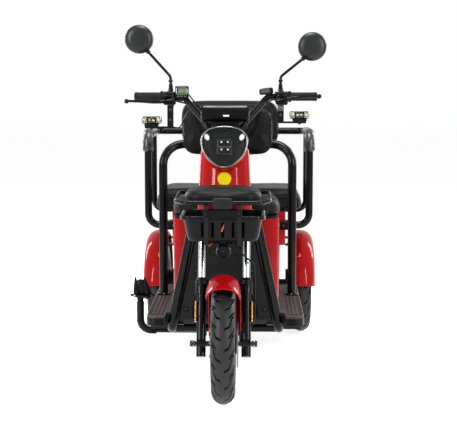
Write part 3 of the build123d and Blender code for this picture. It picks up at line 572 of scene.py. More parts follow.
def buildPad(name, shape):
    pad = remeshed(name, shape)
    swell(pad, shape)
    if name == "driver_back_pad":
        pressChannel(pad)
    pad.data.shade_smooth()
    pad.data.materials.clear()
    pad.data.materials.append(finish["leatherette"])
    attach(pad, shape["body"])
    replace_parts(pad, shape["node"])
    low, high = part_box(shape["node"])
    bm = bmesh.new()
    away, radius = Vector(shape["seam"][0]), shape["seam"][1]
    anchor = (high if away.z else low) + away
    # seam piping and channel edges in the lighter piping tone: real piping with a painted highlight
    addTube(bm, seamLoop(pad, anchor, away.normalized()), radius, bends=3, sides=2, closed=True)
    if name == "driver_back_pad":
        front = low.y + 0.0025
        for offset in (-1, 1):
            shift = offset * (horseshoe["halfWidth"] + 0.001)
            edge = [Vector((x * (1 + shift / 0.15), front, z - shift * (0.3 if abs(x) > 0.1 else 1.0)))
                    for x, z in horseshoe["path"][1:-1]]
            addTube(bm, edge, 0.0016, bends=8, sides=3)
    newPiece(f"{name}_piping", bm, "pipingPaintedHighlight", shape["body"])
    fine = pad.modifiers.new("fine", "SUBSURF")
    fine.levels = fine.render_levels = 1
    return pad


for padName, padShape in padShapes.items():
    buildPad(padName, padShape)
print("pads stuffed")

# headlight: red nacelle, ring, domed lens, dark bowl, lamp block with four lenses and painted glints, side lights
headlight = {
    "place": (0.0, 128, 0.855), "lean": -12, "columns": (-0.0108, 0.0108), "rows": (0.015, -0.011),
    "sideLights": [(-0.06, 0.035, 24), (0.06, 0.035, -24)], "dome": 0.26, "steps": 120,
    "outline": [(0.0, 0.069), (0.03, 0.0665), (0.054, 0.0595), (0.0705, 0.0455), (0.0785, 0.0265), (0.0758, 0.001),
                (0.0668, -0.022), (0.0525, -0.041), (0.035, -0.057), (0.017, -0.0675), (0.0, -0.0705)],
    "bowl": [(1.0, -0.004), (0.94, -0.007), (0.92, -0.013), (0.82, -0.016), (0.8, -0.022), (0.6, -0.03)],
    "nacelle": [(1.0, -0.002), (1.03, -0.006), (1.035, -0.014), (1.04, -0.026), (1.05, -0.04), (1.06, -0.056),
                (1.07, -0.072)],
    "lens": (0.985, 0.8, 0.6, 0.4, 0.2, 0.02), "crown": 0.024,
    "frame": [(-0.0235, 0.009), (-0.02, 0.0115), (0.02, 0.0115), (0.0235, 0.009), (0.0235, -0.009), (0.02, -0.0115),
              (-0.02, -0.0115), (-0.0235, -0.009)],
}


def headlightMatrix():
    x, behind, z = headlight["place"]
    return (Matrix.Translation((x, back(behind), z)) @ Matrix.Rotation(math.radians(headlight["lean"]), 4, "X")
            @ Matrix.Rotation(math.radians(90), 4, "X"))


def headlightEdge():  # the outline as distance from its middle at even angles
    half = headlight["outline"]
    loop = half + [(-x, y) for x, y in reversed(half[1:-1])]
    dense = []
    for number in range(len(loop)):
        p0, p1, p2, p3 = (Vector(loop[(number + shift) % len(loop)]) for shift in (-1, 0, 1, 2))
        for share in (0.0, 0.2, 0.4, 0.6, 0.8):
            place = 0.5 * (2 * p1 + (p2 - p0) * share + (2 * p0 - 5 * p1 + 4 * p2 - p3) * share ** 2
                           + (3 * p1 - p0 - 3 * p2 + p3) * share ** 3)
            dense.append((math.atan2(place.y, place.x) % (2 * math.pi), place.length))
    dense.sort()
    dense = [(dense[-1][0] - 2 * math.pi, dense[-1][1])] + dense + [(dense[0][0] + 2 * math.pi, dense[0][1])]
    edge = []
    for number in range(headlight["steps"]):
        angle = 2 * math.pi * number / headlight["steps"]
        after = next(n for n, row in enumerate(dense) if row[0] > angle)
        (a0, r0), (a1, r1) = dense[after - 1], dense[after]
        edge.append((angle, r0 + (r1 - r0) * (angle - a0) / (a1 - a0)))
    return edge


def headlightPoint(angle, radius, share, depth):  # on the dome, then back by depth
    x, y = share * radius * math.cos(angle), share * radius * math.sin(angle)
    dome = math.sqrt(headlight["dome"] ** 2 - x * x - y * y) - headlight["dome"] + headlight["crown"]
    return headlightMatrix() @ Vector((x, y, dome + depth))


def loftRings(bm, rings):  # extrude one ring of points through the rest
    verts = [bm.verts.new(place) for place in rings[0]]
    edges = [bm.edges.new(pair) for pair in zip(verts, verts[1:] + verts[:1])]
    for ring in rings[1:]:
        made = bmesh.ops.extrude_edge_only(bm, edges=edges)["geom"]
        edges = [item for item in made if isinstance(item, bmesh.types.BMEdge)]
        edges = [edge for edge in edges if len(edge.link_faces) == 1]
        below = {}
        for face in {face for edge in edges for face in edge.link_faces}:
            for edge in face.edges:
                ends = [vert in verts for vert in edge.verts]
                if any(ends) and not all(ends):
                    low, high = edge.verts if ends[0] else reversed(edge.verts)
                    below[low] = high
        verts = [below[vert] for vert in verts]
        for vert, place in zip(verts, ring):
            vert.co = place
    return verts


def buildHeadlight():
    seat, edge = headlightMatrix(), headlightEdge()
    ring, bowl, lens, nacelle, block, frames, glass, paintedGlints, lights = newMeshes(9)
    addTube(ring, [headlightPoint(*row, 1.0, -0.0012) for row in edge], 0.003, bends=2, sides=4, closed=True)
    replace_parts(newPiece("headlight_ring", ring, "darkChrome", "chassis"), "headlight_rim")
    rings = []
    for share, depth in headlight["nacelle"]:  # the lower half spreads into the cowl
        spread = [1 + (share - 1) * 2.2 * smoothStep(0.1, -0.9, math.sin(angle)) for angle, radius in edge]
        rings.append([headlightPoint(*row, grow, depth) for row, grow in zip(edge, spread)])
    loftRings(nacelle, rings)
    newPiece("headlight_nacelle", nacelle, "redPaint", "chassis", sharp=70)
    shell = [[headlightPoint(*row, share, depth) for row in edge] for share, depth in headlight["bowl"]]
    bmesh.ops.contextual_create(bowl, geom=loftRings(bowl, shell))
    made = newPiece("headlight_bowl", bowl, "blackPlastic", "chassis", sharp=20)
    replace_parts(made, "headlight_bucket")
    domes = [[headlightPoint(*row, share, -0.0016) for row in edge] for share in headlight["lens"]]
    bmesh.ops.contextual_create(lens, geom=loftRings(lens, domes))
    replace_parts(newPiece("headlight_front", lens, "clearLens", "chassis", sharp=80), "headlight_lens")
    turn = seat.to_3x3().to_4x4()
    forward = turn @ Vector((0, 0, 1))
    addBox(block, seat @ Vector((0, 0.002, -0.009)), (0.054, 0.058, 0.016), 0.006, 3, turn)
    for y in headlight["rows"]:
        addBox(block, seat @ Vector((0, y, -0.001)), (0.047, 0.0235, 0.004), 0.0018, 2, turn)
        band = [seat @ Vector((x, y + up, 0.001)) for x, up in headlight["frame"]]
        addTube(frames, band, 0.001, bends=3, sides=2, closed=True, order=2)
        for x in headlight["columns"]:
            addLathe(glass, [(0, 0), (0, 0.0088), (0.0018, 0.0084), (0.0036, 0.0062), (0.0046, 0.003), (0.0048, 0)],
                     seat @ Vector((x, y, 0.0008)), forward, 24)
            # a small white dot set off-centre on each lens: a painted glint
            addLathe(paintedGlints, [(0, 0), (0, 0.003), (0.0016, 0.0023), (0.0018, 0)],
                     seat @ Vector((x + 0.001, y + 0.003, 0.0052)), forward, 16)
    newPiece("headlight_block", block, "blackPlastic", "chassis")
    newPiece("headlight_frames", frames, "buttonGrey", "chassis")
    newPiece("headlight_projectors", glass, "glossBlack", "chassis")
    newPiece("headlight_painted_glints", paintedGlints, "lampWhite", "chassis")
    for x, y, lean in headlight["sideLights"]:
        matrix = (seat @ Matrix.Translation((x, y, 0.005)) @ Matrix.Rotation(math.radians(lean), 4, "Z")
                  @ Matrix.Diagonal((0.0085, 0.0125, 0.005, 1)))
        bmesh.ops.create_uvsphere(lights, u_segments=28, v_segments=16, radius=1.0, matrix=matrix)
    newPiece("headlight_side_lights", lights, "lampWhite", "chassis")


buildHeadlight()

# controls on the bar: grips, levers, pods, display, mirrors, signals
controls = {
    "grip": {"inner": 0.226, "outer": 0.327, "radius": 0.0155, "rings": 9},
    "sides": [
        {"side": -1, "mirror": 1.23, "shelf": 0.915, "leverDrop": -0.02, "leverReach": 0.351},
        {"side": 1, "mirror": 1.204, "shelf": 0.933, "leverDrop": -0.003, "leverReach": 0.332}],
    "mirror": {"x": 0.308, "radius": 0.051, "depth": 0.029},
    "signal": {"inner": 0.228, "outer": 0.297, "front": -0.05, "rear": -0.01, "low": 0.0163, "high": 0.042},
}
barY, barTop = layout["barY"], layout["barTop"]


def barPoint(x, forward=0.0, up=0.0):  # on the grip's centre line
    return Vector((x, gripLine(x) - forward, barTop + up))


def buildGrips():
    shape = controls["grip"]
    bm = bmesh.new()
    for side in (-1, 1):
        start, end = barPoint(side * shape["inner"]), barPoint(side * shape["outer"])
        length, radius = (end - start).length, shape["radius"]
        profile = [(0, 0.0112), (0, 0.0195), (0.003, 0.0205), (0.006, 0.0195), (0.008, radius)]
        for number in range(shape["rings"]):
            place = 0.012 + number * (length - 0.026) / shape["rings"]
            profile += [(place, radius), (place + 0.0012, radius - 0.0008), (place + 0.003, radius - 0.0008),
                        (place + 0.0042, radius), (place + 0.0062, radius + 0.0003)]
        profile += [(length - 0.01, radius), (length - 0.004, radius + 0.001), (length - 0.001, radius - 0.0005),
                    (length, radius - 0.004), (length, 0.006), (length - 0.002, 0.004), (length - 0.002, 0)]
        addLathe(bm, profile, start, end - start, 40)
    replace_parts(newPiece("handlebar_grips", bm, "rubber", "steering"), "grips")


def buildLevers():
    bm = bmesh.new()
    for row in controls["sides"]:
        side, drop, reach = row["side"], row["leverDrop"], row["leverReach"]
        pivot = barPoint(side * 0.186, 0.034, -0.014)
        knee = barPoint(side * 0.25, 0.062, drop)
        tip = barPoint(side * reach, 0.062, drop + 0.004)
        middle = knee.lerp(tip, 0.5) + Vector((0, 0.004, 0.001))
        points = [pivot, pivot.lerp(knee, 0.35) + Vector((0, -0.006, 0)), knee, middle, tip]
        addTube(bm, points, 0.0052, bends=12, sides=4, swell=[1.5, 1.35, 1.05, 0.85, 0.75])
        addTube(bm, [place + Vector((0, 0, 0.0026)) for place in points[1:]], 0.0036, bends=12, sides=3,
                swell=[1.3, 1.0, 0.8, 0.7])
        bmesh.ops.create_uvsphere(bm, u_segments=24, v_segments=16, radius=0.0085, matrix=Matrix.Translation(tip))
        addRod(bm, pivot + Vector((0, 0, 0.012)), pivot - Vector((0, 0, 0.01)), 0.0075, segments=20, bevel=0.0015)
        addBolt(bm, pivot + Vector((0, 0, 0.011)), (0, 0, 1), 0.0042)
    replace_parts(newPiece("brake_lever_blades", bm, "blackPaint", "steering"), "brake_levers")


def buildPods():
    bm, marks, steel, switch, face = newMeshes(5)
    for side in (-1, 1):
        centre = barPoint(side * 0.2)
        for half in (1, -1):
            addBox(bm, centre + Vector((0, -0.009, half * 0.0125 - 0.006)), (0.043, 0.056, 0.0225), 0.007, 4)
        addRod(bm, barPoint(side * 0.176), barPoint(side * 0.184), 0.018, segments=36, bevel=0.002)
        addRod(bm, barPoint(side * 0.215), barPoint(side * 0.226), 0.0185, segments=36, bevel=0.003)
        addBox(bm, centre + Vector((-side * 0.01, -0.03, -0.016)), (0.02, 0.018, 0.02), 0.004, 3)
        for x, z in ((-0.012, 0.005), (0.012, 0.005), (-0.012, -0.017), (0.012, -0.017)):
            addBolt(steel, centre + Vector((x, -0.0368, z)), (0, -1, 0), 0.0022, False)
        addBox(bm, centre + Vector((0, 0.006, 0.0135)), (0.024, 0.018, 0.006), 0.002, 3)
        addRod(bm, centre + Vector((0, 0, 0.015)), centre + Vector((0, 0, 0.02)), 0.01, segments=28, bevel=0.001)
        addBox(marks, centre + Vector((side * 0.006, 0.0195, 0.002)), (0.016, 0.004, 0.008), 0.0012, 2)
        addRod(marks, centre + Vector((-side * 0.01, 0.018, 0.001)), centre + Vector((-side * 0.01, 0.0225, 0.001)),
               0.0042, segments=20, bevel=0.0008)
    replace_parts(newPiece("control_pod_shells", bm, "blackPlastic", "steering"), "control_pods")
    newPiece("control_pod_buttons", marks, "buttonGrey", "steering")
    newPiece("control_pod_screws", steel, "darkMetal", "steering")
    turn = Matrix.Rotation(math.radians(-8), 4, "Y")
    place = Vector((0.145, barY + 0.036, barTop + 0.019))
    addBox(switch, place, (0.05, 0.026, 0.022), 0.0065, 4, turn)
    addBox(switch, place + turn @ Vector((0.004, 0, -0.011)), (0.018, 0.022, 0.008), 0.002, 2, turn)
    addBox(face, place + turn @ Vector((-0.004, -0.0128, 0.001)), (0.03, 0.0022, 0.012), 0.0009, 2, turn)
    addBox(face, place + turn @ Vector((0.0, 0, 0.0108)), (0.026, 0.012, 0.0024), 0.0009, 2, turn)
    newPiece("switch_box", switch, "blackPlastic", "steering")
    newPiece("switch_keys", face, "buttonGrey", "steering")


def buildDisplay():
    shell, frameBand, glass, keys = newMeshes(4)
    centre = Vector((-0.154, gripLine(0.154) - 0.025, barTop + 0.016))
    addBox(shell, centre, (0.048, 0.022, 0.044), 0.005, 4)
    addRod(shell, barPoint(-0.136), barPoint(-0.172), 0.0165, segments=36, bevel=0.002)
    addBox(shell, barPoint(-0.154, 0.016, 0.004), (0.02, 0.02, 0.022), 0.004, 3)
    rim = [(-0.019, 0.015), (0.019, 0.015), (0.019, -0.008), (-0.019, -0.008)]
    corners = []
    for (x0, z0), (x1, z1) in zip(rim, rim[1:] + rim[:1]):
        for share in (0.12, 0.5, 0.88):
            corners.append(centre + Vector((x0 + (x1 - x0) * share, -0.0112, z0 + (z1 - z0) * share)))
    addTube(frameBand, corners, 0.0013, bends=4, sides=2, closed=True)
    addBox(frameBand, centre + Vector((0, -0.0108, 0.0195)), (0.044, 0.0022, 0.0022), 0.0008, 2)
    addBox(glass, centre + Vector((0.002, -0.0106, 0.004)), (0.031, 0.0022, 0.017), 0.0008, 2)
    for x in (-0.012, 0.0, 0.012):
        addBox(keys, centre + Vector((x, -0.0108, -0.015)), (0.009, 0.003, 0.005), 0.0012, 2)
    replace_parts(newPiece("display_shell", shell, "blackPlastic", "steering"), "throttle_display")
    newPiece("display_frame", frameBand, "brushedSteel", "steering")
    newPiece("display_screen", glass, "screenGreen", "steering")
    newPiece("display_keys", keys, "buttonGrey", "steering")


def buildMirrors():
    shape = controls["mirror"]
    shell, stems = newMeshes(2)
    radius, depth = shape["radius"], shape["depth"]
    for row in controls["sides"]:
        side, height = row["side"], row["mirror"]
        y, foot = gripLine(0.196), barTop + 0.0185
        centre = Vector((side * shape["x"], y, height))
        profile = [(-0.0062, 0.0), (-0.0062, 0.0468), (-0.007, 0.0476), (-0.0075, 0.0498), (-0.006, radius)]
        for number in range(15):  # domed back
            angle = math.radians(number * 6 + 2)
            profile.append((0.002 + (depth - 0.006) * math.sin(angle), radius * math.cos(angle) ** 0.62))
        profile.append((depth - 0.004, 0))
        addLathe(shell, profile, centre, (0, -1, 0), 160)
        base, bend = Vector((side * 0.196, y, foot)), Vector((side * 0.196, y, foot + 0.052))
        end = Vector((side * 0.284, y + 0.004, height - 0.036))
        path = [base, base.lerp(bend, 0.6), bend, bend.lerp(end, 0.16), bend.lerp(end, 0.6), end]
        addTube(stems, path, 0.005, bends=10, sides=5)
        addLathe(stems, [(0, 0), (0, 0.0095), (0.004, 0.0098), (0.012, 0.0082), (0.014, 0.0066), (0.016, 0.0078),
                         (0.022, 0.0078), (0.024, 0.0064), (0.03, 0.0058), (0.031, 0)], base, (0, 0, 1), 24)
        addRod(stems, base + Vector((0, 0, 0.033)), base + Vector((0, 0, 0.041)), 0.0088, segments=6, bevel=0.001)
        tilt = (end - bend).normalized()
        addRod(stems, end - tilt * 0.016, end + tilt * 0.01, 0.0075, tip=0.0092, segments=24, bevel=0.002)
    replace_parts(newPiece("mirror_shells", shell, "mirrorPlastic", "steering", sharp=50), "mirrors")
    newPiece("mirror_stems", stems, "blackPaint", "steering")


def buildSignals():
    shape = controls["signal"]
    lens, tray, lamp, chip, core = newMeshes(5)
    for row in controls["sides"]:
        side, shelf = row["side"], row["shelf"]
        y = gripLine(0.196)
        x = side * (shape["inner"] + shape["outer"]) / 2
        width, tall = shape["outer"] - shape["inner"], shape["high"] - shape["low"]
        middle = Vector((x, y + (shape["front"] + shape["rear"]) / 2, shelf + (shape["low"] + shape["high"]) / 2))
        front = middle.y + (shape["front"] - shape["rear"]) / 2
        addBox(lens, Vector((x, front + 0.007, middle.z)), (width, 0.014, tall), 0.0055, 4)
        addBox(tray, Vector((x, middle.y + 0.006, middle.z)), (width + 0.001, 0.027, tall + 0.0006), 0.006, 4)
        addBox(core, Vector((x, front + 0.0125, middle.z)), (0.026, 0.006, tall - 0.004), 0.002, 2)
        for offset in (-0.025, 0.025):
            addBox(lamp, Vector((x + offset, front + 0.0128, middle.z)), (0.017, 0.004, tall - 0.006), 0.002, 2)
        for offset in (-0.0245, -0.0065, 0.0065, 0.0245):
            addLathe(chip, [(0, 0), (0, 0.0042), (0.0018, 0.0036), (0.003, 0.002), (0.0033, 0)],
                     Vector((x + offset, front + 0.0102, middle.z)), (0, -1, 0), 18)
        addBox(tray, Vector((side * 0.263, y - 0.03, shelf + 0.0125)), (0.05, 0.034, 0.008), 0.002, 2)
        addBolt(core, Vector((side * 0.263, y - 0.03, shelf - 0.0002)), (0, 0, -1), 0.005)
        for z in (shelf + 0.03, barTop - 0.046):
            addBolt(core, Vector((side * 0.196, y - 0.03, z)), (0, -1, 0), 0.0042)
    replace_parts(newPiece("signal_lenses", lens, "clearLens", "steering"), "turn_signals")
    newPiece("signal_trays", tray, "blackPlastic", "steering")
    newPiece("signal_reflectors", lamp, "reflectorGrey", "steering")
    newPiece("signal_chips", chip, "ledAmber", "steering")
    newPiece("signal_cores", core, "darkMetal", "steering")


def buildDash():
    turn = Matrix.Rotation(math.radians(-28), 4, "X")
    centre = Vector((0, barY - 0.03, barTop - 0.058))
    body, edge, plate, foot = newMeshes(4)
    addBox(body, centre + turn @ Vector((0, 0, -0.003)), (0.17, 0.026, 0.053), 0.0095, 5, turn)
    addBox(body, centre + turn @ Vector((0, -0.0115, -0.003)), (0.15, 0.006, 0.038), 0.0025, 3, turn)
    # pale grey tube along the top edge of the gloss black dash: a painted highlight line
    points = [(x, -0.0105, 0.0212) for x in (-0.076, -0.07, -0.04, 0.0, 0.04, 0.07, 0.076)]
    addTube(edge, [centre + turn @ Vector(point) for point in points], 0.0022, bends=8, sides=3)
    addBox(plate, centre + turn @ Vector((0.004, -0.0147, -0.017)), (0.02, 0.0012, 0.006), 0.0005, 1, turn)
    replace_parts(newPiece("dash_body", body, "glossBlack", "steering"), "dash_panel")
    newPiece("dash_painted_highlight", edge, "reflectorGrey", "steering")
    newPiece("dash_plate", plate, "lampWhite", "steering")
    addBox(foot, Vector((0, barY - 0.0275, barTop - 0.0925)), (0.1, 0.004, 0.046), 0.0015, 2)
    for x in (-0.038, 0.038):
        for z in (-0.075, -0.108):
            addBolt(foot, Vector((x, barY - 0.0293, barTop + z)), (0, -1, 0), 0.0035, False)
    newPiece("dash_foot_plate", foot, "blackPlastic", "steering")


def buildConnectors():  # plugs on the wires beside the bar
    black, orange, teal, buzzer = newMeshes(4)
    run = Vector((0.5, -0.2, -0.55)).normalized()
    for tail, x, behind, z in ((orange, -0.1, 0.024, barTop - 0.028), (teal, -0.088, 0.016, 0.983)):
        place = Vector((x, barY + behind, z))
        addRod(black, place - run * 0.011, place + run * 0.011, 0.0048, segments=18, bevel=0.001)
        for slide in (-0.0065, 0.0, 0.0065):
            middle = place + run * slide
            addRod(black, middle - run * 0.001, middle + run * 0.001, 0.0056, segments=18, bevel=0.0004)
        addRod(tail, place + run * 0.011, place + run * 0.017, 0.0036, segments=16, bevel=0.0006)
    for x in (-0.06, 0.066):
        spot = Vector((x, barY + 0.004, layout["barLow"] + 0.018))
        run = Vector((-0.6 if x < 0 else 0.6, 0.2, 0.75)).normalized()
        addLathe(black, [(-0.002, 0.0128), (-0.002, 0.0142), (0.002, 0.0142), (0.002, 0.0128), (-0.002, 0.0128)],
                 spot, run, 24)
        addBox(black, spot + Vector((0, -0.0145, 0)), (0.005, 0.004, 0.005), 0.001, 1)
    newPiece("wire_plugs", black, "blackPlastic", "steering")
    newPiece("wire_plug_orange", orange, "plugOrange", "steering")
    newPiece("wire_plug_teal", teal, "plugTeal", "steering")
    spot = Vector((0.194, gripLine(0.196), barTop))  # small round buzzer under the left pod
    profile = [(0, 0), (0, 0.0075), (0.003, 0.0088), (0.014, 0.0088), (0.017, 0.0075), (0.017, 0.004), (0.0155, 0)]
    addLathe(buzzer, profile, spot + Vector((0, -0.048, -0.05)), (0, 0, 1), 28)
    addBox(buzzer, spot + Vector((0, -0.0365, -0.042)), (0.012, 0.014, 0.01), 0.002, 2)
    newPiece("buzzer", buzzer, "buttonGrey", "steering")


buildGrips()
buildLevers()
buildPods()
buildDisplay()
buildMirrors()
buildSignals()
buildDash()
buildConnectors()
print("bar dressed")

# red skins: rear fenders and front mudguard, spun about their axles
skins = {
    "fender": {  # across from the centre line, distance from the axle
        "profile": [(0.2665, 0.224), (0.2675, 0.231), (0.2745, 0.237), (0.2875, 0.24), (0.307, 0.241), (0.3247, 0.238),
                    (0.341, 0.2302), (0.3527, 0.218), (0.359, 0.2035), (0.362, 0.186), (0.363, 0.168), (0.3635, 0.152)],
        "from": 171.5, "to": 8.5, "steps": 60, "thick": 0.003, "lip": 0.0034,
    },
    "mudguard": {
        "profile": [(0.0545 * math.sin(math.radians(t)), 0.19 + 0.0425 * math.cos(math.radians(t)))
                    for t in range(-90, 91, 10)],
        "from": 118, "to": -4, "steps": 48, "thick": 0.0026, "lip": 0.0026,
    },
}


def wheelPoint(hub, x, radius, degrees):  # degrees from straight back, rising over the wheel
    angle = math.radians(degrees)
    return Vector((x, hub.y + radius * math.cos(angle), hub.z + radius * math.sin(angle)))


def buildSkin(name, node, body, shape, hubs):
    bm, lips = newMeshes(2)
    sweep, lipPoints = shape["to"] - shape["from"], 24
    for hub, flip in hubs:
        verts = [bm.verts.new(wheelPoint(hub, flip * x, radius, shape["from"])) for x, radius in shape["profile"]]
        edges = [bm.edges.new(pair) for pair in zip(verts, verts[1:])]
        bmesh.ops.spin(
            bm, geom=verts + edges, cent=hub, axis=(1, 0, 0), angle=math.radians(sweep), steps=shape["steps"],
            use_merge=False, use_duplicate=False)
        for x, radius in (shape["profile"][0], shape["profile"][-1]):
            edge = [wheelPoint(hub, flip * x, radius, shape["from"] + sweep * number / lipPoints)
                    for number in range(lipPoints + 1)]
            addTube(lips, edge, shape["lip"], bends=4, sides=3)
        for degrees in (shape["from"], shape["to"]):
            addTube(lips, [wheelPoint(hub, flip * x, radius, degrees) for x, radius in shape["profile"]],
                    shape["lip"], bends=6, sides=3)
    skin = newPiece(name, bm, "redPaint", body, sharp=80)
    shell = skin.modifiers.new("shell", "SOLIDIFY")
    shell.thickness, shell.offset = shape["thick"], 0.0
    fine = skin.modifiers.new("fine", "SUBSURF")
    fine.levels = fine.render_levels = 1
    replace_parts(skin, node)
    newPiece(f"{name}_lips", lips, "redPaint", body, sharp=80)


rearAxle = Vector((0, layout["rearAxleY"], layout["axleHeight"]))
buildSkin("rear_fender_skins", "rear_fenders", "chassis", skins["fender"], [(rearAxle, 1), (rearAxle, -1)])
buildSkin("mudguard_skin", "front_mudguard", "steering", skins["mudguard"], [(frontHub, 1)])


def buildFenderMounts():
    bm, bolts, red = newMeshes(3)
    for side in (-1, 1):
        for y in (0.453, 0.693):  # tabs to the rear box
            addBox(bm, (side * 0.2525, y, 0.395), (0.033, 0.04, 0.006), 0.0015, 2)
            addBolt(bolts, (side * 0.25, y, 0.3979), (0, 0, 1), 0.005)
        addBox(bm, (side * 0.315, 0.7865, 0.361), (0.052, 0.053, 0.096), 0.01, 4)
        addBox(bm, (side * 0.315, 0.768, 0.372), (0.04, 0.048, 0.05), 0.008, 3)
        for z in (0.332, 0.361, 0.39):
            addBox(red, (side * 0.315, 0.8275, z), (0.034, 0.004, 0.022), 0.0016, 2)
    newPiece("fender_brackets", bm, "blackPlastic", "chassis")
    newPiece("fender_bolts", bolts, "brushedSteel", "chassis")
    newPiece("tail_lamp_cells", red, "redLens", "chassis")


buildFenderMounts()
print("skins spun")

# foot brake: bellows sleeve, plate and two-fin cup
footBrake = {"y": -0.222, "x": -0.318, "low": 0.163, "top": 0.272, "bend": 0.04, "radius": 0.0142, "fin": 0.0135}


def buildPedal():
    y, x, low, top, bend = (footBrake[key] for key in ("y", "x", "low", "top", "bend"))
    rise = low + bend
    path = [Vector((-0.258 - 0.002 * n, y, low)) for n in range(11)]
    path += arcPoints((x + bend, y, rise), (0, 0, -bend), (-bend, 0, 0), range(5, 90, 5))
    path += [Vector((x, y, rise + (top - rise) * n / 22)) for n in range(23)]
    swell = [1.16 if number % 2 else 0.8 for number in range(len(path))]
    swell[0] = swell[-1] = 0.75
    rubber, arm, cup, metal = newMeshes(4)
    addTube(rubber, path, footBrake["radius"], bends=3, sides=6, swell=swell)
    addTube(arm, [Vector((-0.084, y, low)), Vector((-0.15, y, low + 0.001)), Vector((-0.262, y, low))], 0.0095,
            bends=8, sides=5, swell=[1.0, 1.12, 0.95])
    addBox(arm, (-0.092, y, low + 0.001), (0.026, 0.03, 0.03), 0.005, 3)
    addBolt(metal, (-0.092, y - 0.0145, low + 0.001), (0, -1, 0), 0.0065)
    base = Vector((x, y - 0.002, 0.2905))
    plate = Matrix.Translation(base) @ Matrix.Rotation(math.radians(6), 4, "Y") @ Matrix.Diagonal((1.0, 0.6, 1, 1))
    addLathe(cup, [(-0.004, 0), (-0.005, 0.018), (-0.002, 0.036), (0.002, 0.039), (0.0045, 0.037), (0.006, 0.03),
                   (0.006, 0)], (0, 0, 0), (0, 0, 1), 40)
    bmesh.ops.transform(cup, matrix=plate, verts=cup.verts)
    for fin, lean in ((-0.0105, -6), (0.03, -12)):
        made = bmesh.ops.create_uvsphere(cup, u_segments=28, v_segments=20, radius=1.0)["verts"]
        for vert in made:  # pointed top, full belly
            narrow = 1 - max(vert.co.z, 0.0)
            vert.co.x *= footBrake["fin"] * narrow ** 0.55
            vert.co.y *= footBrake["fin"] * narrow ** 0.45
            vert.co.z = 0.018 + vert.co.z * (0.022 if vert.co.z < 0 else 0.058)
        turn = Matrix.Translation(base + Vector((fin, 0, 0.002))) @ Matrix.Rotation(math.radians(lean), 4, "Y")
        bmesh.ops.transform(cup, matrix=turn, verts=made)
    made = bmesh.ops.create_uvsphere(cup, u_segments=28, v_segments=20, radius=1.0)["verts"]
    shape = Matrix.Translation(base + Vector((0.002, 0.004, 0.03))) @ Matrix.Diagonal((0.027, 0.013, 0.034, 1))
    bmesh.ops.transform(cup, matrix=shape, verts=made)
    foot = base + Vector((0, 0.002, 0))
    addRod(cup, foot + Vector((0, 0, -0.022)), foot, 0.0105, tip=0.014, segments=28, bevel=0.001)
    addBolt(metal, base + Vector((0.024, -0.02, -0.004)), (0.3, -1, 0), 0.004)
    addBolt(metal, base + Vector((-0.02, -0.019, 0.005)), (-0.2, -1, 0.2), 0.004, False)
    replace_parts(newPiece("pedal_bellows", rubber, "rubber", "chassis", sharp=70), "brake_pedal")
    newPiece("pedal_arm", arm, "blackPaint", "chassis")
    newPiece("pedal_cup", cup, "blackPlastic", "chassis", sharp=60)
    newPiece("pedal_bolts", metal, "brushedSteel", "chassis")


buildPedal()

# foam sleeves over the front bends of the armrest frame
sleeve = {"x": 0.332, "front": back(936), "low": 0.8, "top": 0.872, "rear": 0.573, "bend": 0.046, "radius": 0.0215}


def buildSleeves():
    bm = bmesh.new()
    bend, top, front, rear = (sleeve[key] for key in ("bend", "top", "front", "rear"))
    for side in (-1, 1):
        x = side * sleeve["x"]
        path = [Vector((x, front, sleeve["low"] + step)) for step in (0.0, 0.001, 0.004, 0.01, 0.02)]
        path += arcPoints((x, front + bend, top - bend), (0, -bend, 0), (0, 0, bend), range(0, 91, 10))
        run = rear - 0.02 - front - bend
        path += [Vector((x, front + bend + run * n / 5, top)) for n in range(1, 6)]
        path += [Vector((x, rear - step, top)) for step in (0.01, 0.004, 0.001, 0.0)]
        swell = [0.74, 0.86, 0.99, 1.04, 1.05] + [1.03] * 10 + [1.0] * 5 + [1.0, 0.97, 0.86, 0.74]
        addTube(bm, path, sleeve["radius"], bends=5, sides=9, swell=swell)
    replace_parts(newPiece("armrest_foam", bm, "foamRubber", "chassis", sharp=60), "armrest_sleeves")


buildSleeves()

# driver's hoop with round shoulders
hoop = {
    "x": 0.253, "y": back(704), "low": 0.245, "top": 0.839, "bend": 0.078, "lean": 0.04, "radius": 0.017,
    "foot": [(0.0, 0.0), (0.0, 0.027), (0.0048, 0.027), (0.006, 0.0258), (0.006, 0.0195), (0.0085, 0.0172),
             (0.0085, 0.0)],
}


def buildHoop():
    bm = bmesh.new()
    x, y, bend, lean = (hoop[key] for key in ("x", "y", "bend", "lean"))
    start = hoop["top"] - bend
    half = [Vector((x, y, height)) for height in (hoop["low"], 0.4, 0.6, start - 0.02)]
    shoulder = arcPoints((x - bend, y, start), (bend, 0, 0), (0, 0, bend), range(0, 91, 10))
    half += [place + Vector((0, lean * smoothStep(0, 9, number), 0)) for number, place in enumerate(shoulder)]
    half += [Vector((reach, y + lean, hoop["top"])) for reach in (x - bend - 0.015, 0.08)]
    path = half + [Vector((-point.x, point.y, point.z)) for point in reversed(half)]
    addTube(bm, path, hoop["radius"], bends=5, sides=10)
    for side in (-1, 1):
        addLathe(bm, hoop["foot"], (side * x, y, hoop["low"]), (0, 0, 1), 48)
    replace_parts(newPiece("hoop_tube", bm, "blackPaint", "chassis"), "driver_hoop")


buildHoop()

# rear springs
shock = {"x": 0.193, "y": 0.573, "low": 0.242, "high": 0.368, "radius": 0.0195, "wire": 0.0042, "turns": 6.5}


